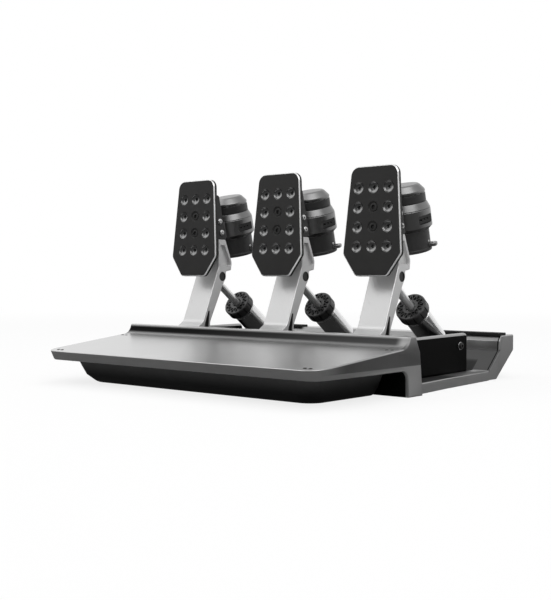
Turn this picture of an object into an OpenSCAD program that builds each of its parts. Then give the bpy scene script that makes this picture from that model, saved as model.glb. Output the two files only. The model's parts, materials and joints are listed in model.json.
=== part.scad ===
// Sim racing pedal set: three sprung pedals with vibration reactors on one base with a heel deck.
// X runs across the pedals, Y away from the driver, Z up. The origin is on the floor,
// under the middle pedal, in the plane of the pedal faces. Millimetres.

/* [Layout] */
// Distance between neighbouring pedals
pedal_pitch = 124; // [118:1:134]
// Thickness of the floor pan
floor_t = 10.5; // [9:0.5:12]

/* [Heel deck] */
// Distance of the deck's front edge ahead of the pedal faces
deck_front = 174; // [150:1:200]
// Distance of the deck's back edge ahead of the pedal faces
deck_back = 50; // [48:0.5:55]
// Height of the deck's front edge
deck_front_h = 35; // [34:0.5:40]
// Height of the deck's back edge
deck_back_h = 46.5; // [42:0.5:48]
// Height of the rim's lower edge
rim_h = 27; // [22:0.5:28]
// Thickness of the deck's sheet
deck_t = 4; // [3:0.5:5]
// Thickness of the deck's rim
rim_t = 5; // [4:0.5:7]
// Radius of the deck's front corners, seen from above
deck_corner_r = 22; // [8:0.5:30]
// Distance of the deck's front corners in from the side strips' outer faces
deck_front_in = 7; // [0:0.5:14]
// Distance of the deck's screws in from its edges
deck_screw_in = 9; // [8:0.5:13]
// Distance of the front screws' pairs in from the deck's ends
deck_screw_corner = 14.5; // [13:0.5:20]
// Distance between the two screws of a pair
deck_screw_gap = 6; // [5:0.5:8]
// Height of a deck screw's head
deck_screw_head = 1; // [0.6:0.1:1.6]
// Radius of a deck screw's head
deck_screw_r = 1.8; // [1.5:0.1:2.2]

/* [Under tray] */
// Distance of the tray's foot in from the base's ends
tray_foot_in = 33; // [28:1:45]
// Distance of the tray's foot in from the deck's front edge
tray_foot_back = 38; // [28:1:45]
// Distance of the tray's upper edge in from the deck's edges
tray_top_in = 20; // [12:0.5:24]
// Distance of the tray's belly in from the deck's edges
tray_belly_in = 27; // [22:0.5:30]
// Height of the tray's belly
tray_belly_h = 9; // [6:0.5:12]
// Gap between the tray and the fillet of the front rail
tray_rail_gap = 4; // [4:0.5:10]
// Wall of the tray
tray_t = 3; // [2:0.5:4]
// Corner radius of the tray
tray_r = 18; // [12:1:24]
// Width of the ledge where the tray meets the rim
tray_ledge = 2.5; // [2:0.5:4]

/* [Front rail] */
// Height of the ridge
ridge_h = 57.5; // [55:0.5:60]
// Distance of the ridge's front ahead of the pedal faces
ridge_front = 40; // [38:0.5:42]
// Depth of the ridge's top
ridge_d = 10.5; // [9.5:0.5:12]
// Distance of the rail wall's front ahead of the pedal faces
rail_wall_front = 41; // [39:0.5:43]
// Thickness of the rail's wall
rail_wall_t = 5; // [4:0.5:6]
// Height of the ridge's back face
ridge_back_h = 7; // [5:0.5:9]
// Drop of the slope under the ridge
ridge_under = 4; // [3:0.5:6]
// Lean of the ridge's front
ridge_lean = 2; // [1:0.25:3]
// Height of the cove
cove_h = 7; // [5:0.5:9]
// Radius of the cove between deck and ridge
cove_r = 7; // [4:0.5:8]
// Radius of the round under the rail's front
rail_fillet_r = 9; // [4:0.5:10]
// Width of each end column
column_w = 18; // [14:0.5:20]
// Depth of an end column at its foot
column_d = 18; // [16:0.5:22]
// Draft of an end column's back below its kink
column_draft = 1.7; // [0:0.1:3]
// Depth of an end column's flat top
column_top_d = 2; // [1:0.25:2.5]
// Height of the kink in an end column's back
column_kink_h = 32; // [28:0.5:36]
// Distance that the columns' outer faces stand out past the side strips
column_out = 9; // [2:0.5:12]
// Length over which the floor pan narrows behind a column
column_taper = 26; // [20:1:40]
// Radius where that taper meets the side strip
column_taper_r = 40; // [10:1:60]

/* [Rear rail] */
// Distance of the rear rail's foot behind the pedal faces
rear_foot = 140; // [138:0.5:150]
// Depth of the rear rail's foot at the floor
rear_foot_d = 20; // [16:0.5:24]
// Distance of the rear rail's back behind the pedal faces
rear_back = 203; // [196:1:215]
// Height of the rear rail
rear_h = 48; // [44:0.5:52]
// Height where the rear rail's slope ends
rear_kink_h = 31; // [28:0.5:36]
// Depth of the rear rail above its slope
rear_d = 37; // [32:0.5:40]
// Draft of the rear rail's inner face above its slope
rear_draft = 1; // [0:0.25:3]
// Width of the bevel along the rear rail's upper inner edge
rear_bevel = 6; // [4:0.5:8]
// Height of a trim strip
trim_h = 2.8; // [2:0.2:4]
// Depth of a trim strip
trim_d = 12; // [8:0.5:16]
// Length of a trim strip
trim_l = 89; // [60:1:120]
// Distance of the trim strips in from the base's ends
trim_in = 1; // [0.5:0.5:6]
// Distance of the floor bolts in from the base's ends
floor_bolt_in = 15; // [10:0.5:17]
// Distance of the rear floor bolts behind the pedal faces
floor_bolt_rear = 132; // [129:0.5:134]
// Distance of the front floor bolts behind the pedal faces
floor_bolt_front = 40; // [34:1:60]
// Radius of a floor bolt's hole
floor_bolt_r = 3.3; // [2.7:0.1:4.3]

/* [Side walls] */
// Width of the floor strip outside a side wall
strip_w = 20; // [19.5:0.5:28]
// Gap between a position sensor and its side wall
wall_gap = 1.7; // [0.5:0.1:6]
// Thickness of a side wall
wall_t = 6; // [4:0.5:7]
// Height of a side wall's top edge
wall_h = 52.5; // [50:0.5:58]
// Distance of a side wall's front end ahead of the pedal faces
wall_front = 12; // [4:0.5:14]
// Distance of a side wall's back end behind the pedal faces
wall_back = 128; // [126:0.5:134]
// Radius of a side wall's upper corners
wall_corner_r = 5; // [2:0.5:10]
// Width of a side wall's foot
wall_foot_w = 8; // [6:0.5:10]
// Thickness of a side wall's foot
wall_foot_t = 3; // [2:0.5:4]
// Distance of a side wall's foot in from the wall's back end
wall_foot_in = 10; // [6:1:16]
// Distance of the wall bolt behind the pedal faces
wall_bolt_y = 112; // [100:1:118]
// Height of the wall bolt
wall_bolt_h = 39.5; // [34:0.5:44]
// Radius of the wall bolt's head
wall_bolt_r = 4.5; // [3.5:0.5:6]
// Height of the wall bolt's head
wall_bolt_head = 3; // [2:0.25:4]
// Length of the wall bolt's shank inside the control box
wall_bolt_in = 5; // [3:0.5:8]

/* [Control box] */
// Width of the control box
box_w = 15; // [12:0.5:15]
// Depth of the control box
box_d = 40; // [30:1:44]
// Height of the control box
box_h = 30; // [24:1:34]
// Height of the control box above the floor pan
box_lift = 8; // [4:0.5:10]
// Distance of the control box's back behind the wall bolt
box_back = 8; // [6:0.5:12]
// Height of the data socket
socket_h = 4; // [3:0.25:6]
// Depth of the data socket
socket_d = 6; // [4:0.5:10]

/* [Pivot] */
// Distance of the pivot ahead of the pedal faces
pivot_front = 4; // [2:0.5:5]
// Height of the pivot
pivot_h = 32; // [30:0.5:34]
// Radius of the pivot shaft
shaft_r = 5; // [4:0.5:6]
// Running clearance between a shaft and its bush
run_gap = 0.05; // [0.02:0.01:0.1]
// Wall of a bush
bush_t = 2; // [1.5:0.5:3]
// Thickness of a bush's flange
flange_t = 1.2; // [0.8:0.2:2]
// Width of a bush's flange
flange_w = 2; // [1:0.5:3]
// Thickness of a pivot cheek
cheek_t = 6; // [5:0.5:8]
// Gap between an arm and its cheeks
cheek_gap = 0.8; // [0.4:0.1:1.5]
// Radius of a cheek's round top
cheek_r = 13; // [12:0.5:14]
// Spread of a cheek's lower end past its round top
cheek_spread = 3; // [0:0.5:6]
// Thickness of a cheek's foot
cheek_foot_t = 5; // [4:0.5:7]
// Side of a position sensor's housing
sensor_side = 26; // [24:0.5:26]
// Thickness of a position sensor's housing
sensor_t = 10; // [8:0.5:14]
// Gap between a shaft's end and its sensor
sensor_gap = 1; // [0.5:0.1:2]

/* [Arm] */
// Width of an arm
arm_w = 33; // [30:0.5:36]
// Radius of an arm's hub
hub_r = 15; // [13:0.5:16]
// Distance of the rod pin behind the pedal faces
pin_y = 30.5; // [29:0.5:33]
// Height of the rod pin
pin_h = 114; // [110:0.5:118]
// Distance from the plate's back to the head's front
head_front_d = 20; // [18:0.5:22]
// Depth of an arm from the pin to its back
arm_back_d = 7; // [6.5:0.25:9]
// Height of the head's lower edge above the pin
pin_cover = 6; // [5.5:0.25:8]
// Height of an arm's foot above the pivot
foot_h = 28; // [26:0.5:32]
// Distance of the foot's front behind the pivot
foot_in = 0.5; // [-2:0.5:3]
// Depth of an arm above its foot
foot_d = 12.5; // [11:0.5:15]
// Reach of the toe ahead of the foot
toe_d = 11; // [6:0.5:11.5]
// Height of the toe's hollow front
toe_h = 6; // [4:0.5:8]
// Drop of the toe's top towards its tip
toe_drop = 1.5; // [0:0.25:3]
// Rise of the bend in the arm's front above the head's lower edge
bend_up = 5; // [3:0.5:8]
// Radius of the bend in the arm's front
bend_r = 12; // [6:1:16]
// Radius of the curve behind the foot
foot_r = 14; // [8:1:18]
// Radius of the boss behind the pin
boss_r = 9.5; // [9:0.25:10.5]
// Rim around the pockets in an arm's sides
pocket_rim = 3.5; // [2.5:0.25:4]
// Depth of the pockets in an arm's sides
pocket_d = 5; // [2:0.5:6]
// Height of an arm's head
head_h = 158; // [154:0.5:160]
// Depth of the head at its top
head_top_d = 12.5; // [10:0.5:13]
// Depth of the head at its widest
head_d = 24; // [22:0.5:25]
// Rise of the head's widest place above its lower edge
head_bulge = 11; // [8:0.5:14]
// Width of the tongue inside the bracket
tongue_w = 18; // [14:0.5:22]
// Height of the tongue above the head
tongue_h = 28; // [26:0.5:32]

/* [Pedal plate] */
// Height of the middle of the dimples
face_h = 174.8; // [172:0.2:178]
// Lean of the plate
face_lean = 3.4; // [0:0.2:6]
// Thickness of the plate
plate_t = 5; // [4:0.5:7]
// Height of the plate above the dimples' middle
plate_up = 52.5; // [46:0.5:60]
// Height of the plate below the dimples' middle
plate_down = 60.5; // [56:0.5:66]
// Width of the plate at its top
plate_top_w = 56; // [52:0.5:62]
// Width of the plate at its widest
plate_w = 70.5; // [66:0.5:78]
// Width of the plate's lower edge
plate_foot_w = 38; // [30:0.5:46]
// Height of the plate's lower corners
plate_chamfer_h = 23; // [16:0.5:28]
// Radius of the plate's upper corners
plate_corner_r = 10; // [4:0.5:14]
// Distance between rows of dimples
dimple_row = 20; // [18:0.2:22]
// Distance between columns of dimples
dimple_col = 18; // [15:0.2:19]
// Radius of a dimple
dimple_r = 5.8; // [4:0.1:6.5]
// Depth of a dimple
dimple_d = 1.8; // [1:0.1:2.2]
// Radius of the hole in a dimple
dimple_hole_r = 1.6; // [1:0.1:2.2]
// Radius of a plate screw
plate_screw_r = 2.5; // [2:0.1:3]
// Radius of a plate screw's head
plate_screw_head_r = 4.4; // [3.6:0.1:5.2]
// Height of a plate screw's head
plate_screw_head = 2.8; // [2:0.1:3.2]
// Radius of the plate's lower corners
plate_low_r = 6; // [1:0.5:8]
// Gap between a plate screw's tip and the tongue
screw_tip_gap = 1; // [0.4:0.1:2]

/* [Bracket] */
// Width of the bracket
bracket_w = 33; // [30:0.5:35]
// Height of the bracket's top
bracket_h = 210; // [202:1:216]
// Height of the bracket's lower edge behind the plate
bracket_low = 138; // [132:1:146]
// Wall between the plate and the tongue
bracket_web = 8.5; // [8.5:0.25:10]
// Wall between the tongue and the bracket's back
bracket_back = 3.5; // [2.5:0.25:5]
// Height of the lower bracket bolts above the head
bolt_low = 8; // [6.5:0.5:10]
// Height of the upper bracket bolts above the head
bolt_high = 21; // [18:0.5:23]
// Distance of the bracket bolts ahead of the tongue's back
bolt_in = 4; // [3:0.5:6]
// Radius of a bracket bolt's head
bracket_bolt_r = 3.6; // [3:0.1:4.2]
// Height of a bracket bolt's head
bracket_bolt_head = 2.2; // [1.6:0.1:3]
// Radius of a bracket bolt's shank
bracket_bolt_shank_r = 2; // [1.5:0.1:2.5]
// Length of a bracket bolt's shank
bracket_bolt_l = 11; // [9:0.5:12]

/* [Reactor] */
// Lean of the reactor towards the driver
reactor_lean = 14.5; // [10:0.5:18]
// Distance of the reactor's middle behind the pedal faces
reactor_y = 63.5; // [62:0.5:68]
// Height of the reactor's middle
reactor_h = 184; // [182:0.5:188]
// Gap between the bracket's back and the reactor's axis
reactor_out = 30.8; // [30:0.2:32]
// Radius of the reactor's ring
ring_r = 27; // [25:0.5:29]
// Radius of the reactor's lower can
can_r = 22.8; // [21:0.2:24]
// Radius of the reactor's upper can
cap_r = 23.5; // [21.5:0.5:25]
// Wall of the reactor
reactor_t = 3; // [2:0.5:4]
// Height of the ring's foot below the reactor's middle
ring_low = 18; // [16:0.5:20]
// Height of the ring's top above the reactor's middle
ring_high = 2; // [0:0.5:4]
// Height of the ring's cone
cone_h = 7; // [5:0.5:9]
// Height of the reactor below its middle
reactor_down = 44; // [41:0.5:46]
// Height of the reactor above its middle
reactor_up = 28; // [24:0.5:32]
// Width of the ring's port
port_w = 20; // [14:0.5:24]
// Height of the ring's port
port_h = 9; // [6:0.5:11]
// Reach of the cable lug past the can
lug_d = 9; // [6:0.5:12]
// Width of the cable lug
lug_w = 13; // [9:0.5:16]
// Thickness of the cable lug
lug_t = 3.5; // [2.5:0.25:5]
// Height of the cable lug above the reactor's foot
lug_up = 5; // [4.5:0.5:10]
// Turn of the cable lug away from the side, in degrees
lug_turn = 20; // [0:1:45]
// Height of the reactor's foot band
band_h = 3; // [2:0.5:4]
// Depth of the reactor's grooves
groove_d = 0.8; // [0.4:0.1:1.2]
// Height of the seam below the reactor's top
seam_down = 10; // [8.5:0.5:12]
// Height of the bevel around the reactor's top
bevel_h = 7; // [5:0.5:8]
// Width of the bevel around the reactor's top
bevel_w = 6; // [4:0.5:8]
// Width of the pad that seats the reactor on its bracket
pad_w = 24; // [18:0.5:28]
// Clearance between the arm's head and the reactor
reactor_gap = 1; // [0.6:0.1:1.2]
// Radius of the motor inside the reactor
motor_r = 16; // [12:0.5:17]
// Gap between the motor and the reactor's top
motor_gap = 3; // [2:0.5:6]

/* [Strut] */
// Slope of the strut below the horizontal
strut_slope = 36; // [34:0.5:38]
// Length of the strut between its pivots
strut_l = 132; // [130:0.5:136]
// Radius of the rod
rod_r = 4.5; // [4:0.1:5]
// Radius of the rod's eye
rod_eye_r = 6.5; // [6:0.1:6.8]
// Width of the rod's eye
rod_eye_w = 12; // [10:0.5:14]
// Gap beside and around an eye
eye_gap = 0.5; // [0.3:0.1:0.8]
// Largest swing of the rod in the arm, in degrees
rod_swing = 16; // [15:0.5:20]
// Radius of the rod pin
pin_r = 4; // [3.4:0.1:4.4]
// Depth of the rod pin's heads below the arm's sides
pin_sink = 1; // [0.5:0.25:1.5]
// Radius of the rod pin's heads
pin_head_r = 5.2; // [4.8:0.1:6]
// Depth of the seats for the rod pin's heads
pin_seat_d = 3; // [2:0.25:4]
// Distance from the rod pin to the preload cap's face
cap_face = 55; // [53:0.5:57]
// Length of the preload cap
preload_l = 12; // [11:0.5:16]
// Radius of the preload cap
preload_r = 17.5; // [16.5:0.25:19]
// Gap between the preload cap's face and the rod
cap_rod_gap = 1; // [0.5:0.1:2]
// Number of blind holes in the preload cap's face
face_hole_n = 10; // [6:1:12]
// Radius of a blind hole in the preload cap's face
face_hole_r = 1.6; // [1:0.1:2]
// Wall of the preload cap's face
preload_face_t = 3; // [2:0.25:4]
// Number of notches around the preload cap
notch_n = 20; // [12:1:24]
// Radius of a notch
notch_r = 1.2; // [0.8:0.1:1.6]
// Radius of the strut's cylinder
cyl_r = 14.3; // [13.6:0.1:15]
// Radius of the cylinder's bore
bore_r = 10.5; // [10:0.1:11]
// Wall of the cylinder's neck under the preload cap
neck_t = 2; // [1.5:0.1:2.4]
// Gap along the strut between the cap and the cylinder
cap_gap = 0.4; // [0.3:0.1:0.8]
// Running clearance of the preload cap on the neck
cap_run_gap = 0.08; // [0.05:0.01:0.1]
// Wall at the cylinder's ends
cyl_end_t = 3; // [2:0.5:4]
// Length of the piston
piston_l = 8; // [6:0.5:10]
// Width of the cylinder's eye
cyl_eye_w = 12; // [10:0.5:14]
// Radius of the cylinder's eye
cyl_eye_r = 9; // [8:0.25:9.5]
// Clearance of the cylinder's eye around its pin
eye_play = 1.2; // [1:0.1:1.6]
// Distance from the strut's lower pivot to the cylinder's end
cyl_end_gap = 12; // [11:0.5:13]
// Spread of a clevis ear's foot ahead of its round end
ear_foot = 4; // [2:0.5:8]
// Width of the clevis pin's heads around its shank
clevis_head_w = 1.5; // [1:0.25:2]
// Thickness of the clevis pin's heads
clevis_head_t = 2; // [1:0.25:3]
// Thickness of a clevis ear
ear_t = 5; // [4:0.5:6]
// Radius of a clevis ear's round end
ear_r = 9.5; // [8.5:0.25:10]
// Radius of the clevis pin
clevis_pin_r = 4; // [3:0.25:4]
// Radius of the spring's wire
wire_r = 1.1; // [0.8:0.1:1.4]
// Gap between the spring and the bore
spring_gap = 0.8; // [0.5:0.1:1.2]
// Number of the spring's curls
curls = 7; // [5:1:9]

/* [Hidden] */
$fn = 48;
PEDALS = ["clutch", "brake", "throttle"];
SIDES = [-1, 1];
cut = 0.5;
edge_r = 1.5;
cap_bevel = 1;
pivot = [-pivot_front, pivot_h];
pin = [pin_y, pin_h];
strut_dir = [cos(strut_slope), -sin(strut_slope)];
anchor = pin + strut_l * strut_dir;
cheek_x = arm_w / 2 + cheek_gap;
wall_x = pedal_pitch + cheek_x + cheek_t + sensor_t + wall_gap + wall_t;
base_w = 2 * (wall_x + strip_w);
wall_foot_front = pivot.x + cheek_r + cheek_spread + wall_gap;
rail_back = -rail_wall_front + rail_wall_t;
ridge_back = -ridge_front + ridge_d;
ridge_low = ridge_h - ridge_back_h;
deck_slope = atan((deck_back_h - deck_front_h) / (deck_front - deck_back));
column_back = rail_back + column_d;
end_half = base_w / 2 + column_out;
end_flare = (column_out + deck_front_in) / (deck_front + column_back);
neck_r = bore_r + neck_t;
front_wall = cap_face + preload_face_t + cap_gap;
neck_end = cap_face + preload_l + cap_gap;
bore_start = front_wall + cyl_end_t;
cyl_end = strut_l - cyl_end_gap;
bore_end = cyl_end - cyl_end_t;
piston_start = bore_start + cap_gap;
spring_r = bore_r - spring_gap - wire_r;
spring_ends = [piston_start + piston_l + wire_r + cap_gap, bore_end - wire_r - cap_gap];
ear_x = cyl_eye_w / 2 + eye_gap;
cheek_foot_w = sensor_t - sensor_gap;
shaft_end = cheek_x + cheek_t + flange_t + sensor_gap;
seat_top = ring_high + cone_h;
function pedal_x(name) = (search([name], PEDALS)[0] - 1) * pedal_pitch;
// Half the width of the flared front of the base at distance y behind the pedal faces
function flared(y) = end_half + (y - column_back) * end_flare;
// Outline of the flared front between two distances, drawn in from its ends
function flared_band(from, to, inset) = [[-flared(from) + inset, from], [flared(from) - inset, from],
  [flared(to) - inset, to], [-flared(to) + inset, to]];
// Back of the rear rail's slope at height h
function rear_slope(h) = rear_foot + rear_foot_d + h * (rear_back - rear_foot - rear_foot_d) / rear_kink_h;
// Back of the pedal plate at height h
function plate_back(h) = (h - face_h) * tan(face_lean) + plate_t / cos(face_lean);
// Back of the bracket at height h
function bracket_rear(h) = reactor_y - reactor_out / cos(reactor_lean) - (h - reactor_h) * tan(reactor_lean);
// Corner b of an outline, between neighbours a and c, with its own radius as third number
function corner(a, b, c, steps = 6) =
  let (
    p = [b.x, b.y],
    u = ([a.x, a.y] - p) / norm([a.x, a.y] - p),
    v = ([c.x, c.y] - p) / norm([c.x, c.y] - p),
    half = acos(u * v) / 2,
    mid = p + (u + v) / norm(u + v) * b.z / sin(half),
    from = p + u * b.z / tan(half) - mid,
    start = atan2(from.y, from.x),
    side = u.x * v.y - u.y * v.x > 0 ? -1 : 1,
    sweep = side * (2 * half - 180)
  )
  b.z == 0 ? [p] : [for (i = [0 : steps]) let (a = start - sweep * i / steps) mid + b.z * [cos(a), sin(a)]];
// Outline from corners [x, y, radius]
function rounded(pts) = [for (i = [0 : len(pts) - 1])
  each corner(pts[(i + len(pts) - 1) % len(pts)], pts[i], pts[(i + 1) % len(pts)])];
head_front = plate_back(head_h) + head_front_d;
head_low = pin_h + pin_cover;
foot = pivot + [foot_in, foot_h];
PEDAL_NODES = ["plate", "plate_screws", "bracket", "bracket_bolts", "arm", "pivot_shaft", "reactor_can",
  "reactor_cap", "reactor_motor", "rod", "rod_pin", "preload_cap", "cylinder", "spring"];
BASE_NODES = ["heel_deck", "deck_screws", "under_tray", "front_rail", "end_columns", "floor_pan", "rear_rail",
  "rear_trim", "side_walls", "wall_bolt", "control_box", "pivot_cheeks", "pivot_bushes", "position_sensors",
  "strut_clevises", "clevis_pins"];

// Extrudes a side view, drawn as Y and Z, across a width centred on X
module along_x(w) rotate([90, 0, 90]) linear_extrude(w, center = true) children();
// Cylinder along X about a point of the side view
module bar(at, r, w) translate([0, at.x, at.y]) rotate([0, 90, 0]) cylinder(r = r, h = w, center = true);
// Frame of a strut: origin at the rod pin, Z along the strut
module on_strut() translate([0, pin.x, pin.y]) rotate([-90 - strut_slope, 0, 0]) children();
// Frame of a reactor: origin at its middle, Z along its axis
module on_reactor() translate([0, reactor_y, reactor_h]) rotate([reactor_lean, 0, 0]) children();
// Frame of a pedal face: origin at the dimples' middle, Z up the face, Y into the plate
module on_face() translate([0, 0, face_h]) rotate([-face_lean, 0, 0]) children();
module each_pedal() for (p = PEDALS) translate([pedal_x(p), 0, 0]) children();
// The part of a side view's full-width solid that lies inside the base's outline from above
module in_plan() intersection() {
  along_x(2 * end_half) children();
  linear_extrude(2 * ridge_h) polygon(rounded([[-flared(-deck_front), -deck_front, deck_corner_r],
    [flared(-deck_front), -deck_front, deck_corner_r], [end_half, column_back, 0],
    [base_w / 2, column_back + column_taper, column_taper_r], [base_w / 2, rear_back, 0],
    [-base_w / 2, rear_back, 0], [-base_w / 2, column_back + column_taper, column_taper_r],
    [-end_half, column_back, 0]]));
}

// Heel deck with its rim, and bosses for its screws
deck_screw_rows = [-deck_front + deck_screw_in, -deck_back - deck_screw_in];
deck_screw_l = deck_front_h - rim_h - cut;
function deck_screw_x(y) = flared(y) - (y == deck_screw_rows[0] ? deck_screw_corner : deck_screw_in);
module at_deck_screws() {
  for (s = SIDES, y = deck_screw_rows)
    for (k = SIDES)
      translate([s * deck_screw_x(y) + k * deck_screw_gap / 2, y,
        deck_front_h + (y + deck_front) * tan(deck_slope)])
        rotate([deck_slope, 0, 0]) children();
}
module deck_screw(above) rotate_extrude() polygon([[0, above], [deck_screw_r, above],
  [deck_screw_r, -deck_screw_head], [deck_screw_r / 2, -deck_screw_head], [deck_screw_r / 2, -deck_screw_l],
  [0, -deck_screw_l]]);
module heel_deck() color("dimgray") difference() {
  in_plan() polygon([[-deck_front, rim_h], [-deck_front, deck_front_h], [-deck_back, deck_back_h],
    [-deck_back, rim_h]]);
  difference() {
    intersection() {
      along_x(2 * end_half) polygon([[-deck_front + rim_t, rim_h - cut],
        [-deck_front + rim_t, deck_front_h - deck_t], [-deck_back - rim_t, deck_back_h - deck_t],
        [-deck_back - rim_t, rim_h - cut]]);
      linear_extrude(2 * deck_back_h) polygon(rounded([
        for (p = flared_band(-deck_front + rim_t, -deck_back - rim_t, rim_t))
          [p.x, p.y, p.y < -deck_back - rim_t ? deck_corner_r - rim_t : 0]]));
    }
    for (s = SIDES, y = deck_screw_rows) translate([s * deck_screw_x(y), y, rim_h])
      linear_extrude(deck_back_h) square(2 * deck_screw_gap, center = true);
  }
  at_deck_screws() deck_screw(cut);
}
module deck_screws() color("black") at_deck_screws() deck_screw(0);

// Tray under the deck: sloping walls, with a ledge that meets the deck's rim
tray_back = -rail_wall_front - rail_fillet_r - tray_rail_gap;
module tray_level(side_in, front, h, inset) for (s = SIDES, y = [front + tray_r, tray_back - tray_r])
  translate([s * (flared(y) - side_in - tray_r), y, h]) cylinder(r = tray_r - inset, h = 0.1, $fn = 32);
module tray_block(inset, floor_h, top_h) hull() {
  tray_level(tray_foot_in, -deck_front + tray_foot_back, floor_h, inset);
  tray_level(tray_belly_in, -deck_front + tray_belly_in, tray_belly_h + floor_h, inset);
  tray_level(tray_top_in, -deck_front + tray_top_in, top_h - 0.1, inset);
}
module under_tray() color("black") difference() {
  union() {
    tray_block(0, 0, rim_h);
    ledge_in = rim_t - tray_ledge;
    translate([0, 0, rim_h - tray_t]) linear_extrude(tray_t) polygon(rounded([
      for (p = flared_band(-deck_front + ledge_in, tray_back, ledge_in))
        [p.x, p.y, p.y < tray_back ? deck_corner_r - ledge_in : 0]]));
  }
  tray_block(tray_t, tray_t, rim_h + cut);
}

// Front rail: cove and ridge above, wall below
module front_rail() color("dimgray") in_plan() polygon(rounded([
  [-deck_back, rim_h, 0], [-rail_wall_front, rim_h, rail_fillet_r], [-rail_wall_front, floor_t, 0],
  [rail_back, floor_t, 0], [rail_back, ridge_low - ridge_under, 0], [ridge_back, ridge_low, 0],
  [ridge_back, ridge_h, edge_r], [-ridge_front + ridge_lean, ridge_h, 2 * edge_r],
  [-ridge_front, deck_back_h + cove_h, 0], [-ridge_front - cove_h / 2, deck_back_h, cove_r],
  [-deck_back, deck_back_h, 0]]));

// Columns that close the base's ends behind the rail
module end_columns() color("gray") difference() {
  in_plan() polygon([[rail_back, floor_t], [column_back, floor_t], [column_back - column_draft, column_kink_h],
    [ridge_back + column_top_d, ridge_low], [ridge_back, ridge_low], [rail_back, ridge_low - ridge_under]]);
  along_x(2 * (end_half - column_w)) translate([rail_back - cut, 0]) square([column_d + 2 * cut, 2 * ridge_h]);
}

// Floor pan with its bolt holes
module floor_pan() color("gray") difference() {
  in_plan() polygon([[-rail_wall_front, 0], [rear_foot + rear_foot_d, 0], [rear_slope(floor_t), floor_t],
    [-rail_wall_front, floor_t]]);
  for (s = SIDES) {
    translate([s * (base_w / 2 - floor_bolt_in), floor_bolt_rear, -cut])
      cylinder(r = floor_bolt_r, h = floor_t + 2 * cut);
    translate([s * pedal_pitch / 2, floor_bolt_front, -cut])
      cylinder(r = floor_bolt_r, h = floor_t + 2 * cut);
  }
}

// Rear rail on the floor pan, and the two trim strips on its top
rear_front = rear_back - rear_d;
module rear_rail() color("gray") along_x(base_w) polygon(rounded([[rear_foot, floor_t, 0],
  [rear_slope(floor_t), floor_t, 0], [rear_back, rear_kink_h, 0], [rear_back, rear_h, edge_r],
  [rear_front + rear_bevel, rear_h, 0], [rear_front + rear_draft, rear_h - rear_bevel, 0],
  [rear_front, rear_kink_h, 0]]));
module rear_trim() color("black") for (s = SIDES) translate([s * (base_w / 2 - trim_in - trim_l / 2), 0, 0])
  along_x(trim_l) polygon([[rear_front + rear_bevel, rear_h], [rear_front + rear_bevel + trim_d, rear_h],
    [rear_front + rear_bevel + trim_d, rear_h + trim_h], [rear_front + rear_bevel / 2, rear_h + trim_h],
    [rear_front + rear_bevel / 2, rear_h]]);

// Side walls with a foot on the floor pan, the bolt through the right one and the box that it holds
module side_walls() color("black") difference() {
  for (s = SIDES) {
    translate([s * (wall_x - wall_t / 2), 0, 0]) along_x(wall_t) polygon(rounded([[-wall_front, floor_t, 0],
      [wall_back, floor_t, 0], [wall_back, wall_h, wall_corner_r], [-wall_front, wall_h, wall_corner_r]]));
    translate([s * (wall_x - wall_t - wall_foot_w / 2) - wall_foot_w / 2, wall_foot_front, floor_t])
      cube([wall_foot_w, wall_back - wall_foot_in - wall_foot_front, wall_foot_t]);
  }
  wall_bolt_body();
}
module wall_bolt_body() translate([wall_x, wall_bolt_y, wall_bolt_h]) rotate([0, 90, 0]) {
  cylinder(r = wall_bolt_r, h = wall_bolt_head);
  translate([0, 0, -wall_t - wall_bolt_in]) cylinder(r = wall_bolt_r / 2, h = wall_t + wall_bolt_in);
}
module wall_bolt() color("silver") wall_bolt_body();
module control_box() color("black") difference() {
  box_at = [wall_x - wall_t - box_w, wall_bolt_y + box_back - box_d, floor_t + box_lift];
  translate(box_at) cube([box_w, box_d, box_h]);
  wall_bolt_body();
  translate(box_at + [box_w / 2, box_d, box_h / 3])
    cube([2 * socket_h, 2 * socket_d, socket_h], center = true);
}

// Cheeks, bushes and sensors that carry the pedals' shafts
module pivot_cheeks() color("black") each_pedal() difference() {
  for (s = SIDES) {
    translate([s * (cheek_x + cheek_t / 2), 0, 0]) {
      bar(pivot, cheek_r, cheek_t);
      along_x(cheek_t) polygon([[pivot.x - cheek_r - cheek_spread, floor_t],
        [pivot.x + cheek_r + cheek_spread, floor_t], [pivot.x + cheek_r, pivot.y],
        [pivot.x - cheek_r, pivot.y]]);
    }
    translate([s * (cheek_x + cheek_t + cheek_foot_w / 2), pivot.x, floor_t + cheek_foot_t / 2])
      cube([cheek_foot_w, 2 * cheek_r, cheek_foot_t], center = true);
  }
  bar(pivot, shaft_r + run_gap + bush_t, 4 * cheek_x);
}
module pivot_bushes() color("goldenrod") each_pedal() difference() {
  for (s = SIDES) {
    translate([s * (cheek_x + cheek_t / 2), 0, 0]) bar(pivot, shaft_r + run_gap + bush_t, cheek_t);
    translate([s * (cheek_x + cheek_t + flange_t / 2), 0, 0])
      bar(pivot, shaft_r + run_gap + bush_t + flange_w, flange_t);
  }
  bar(pivot, shaft_r + run_gap, 4 * cheek_x);
}
module position_sensors() color("darkgreen") each_pedal() difference() {
  translate([cheek_x + cheek_t, pivot.x - sensor_side / 2, pivot.y - sensor_side / 2])
    cube([sensor_t, sensor_side, sensor_side]);
  translate([cheek_x + cheek_t - cut, 0, 0]) {
    pocket = flange_t + 2 * sensor_gap + cut;
    translate([pocket / 2, 0, 0]) bar(pivot, shaft_r + run_gap + bush_t + flange_w + cut, pocket);
  }
  translate([cheek_x + cheek_t - cut, pivot.x - sensor_side, floor_t - cut])
    cube([cheek_foot_w + 2 * cut, 2 * sensor_side, cheek_foot_t + 2 * cut]);
}

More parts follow.
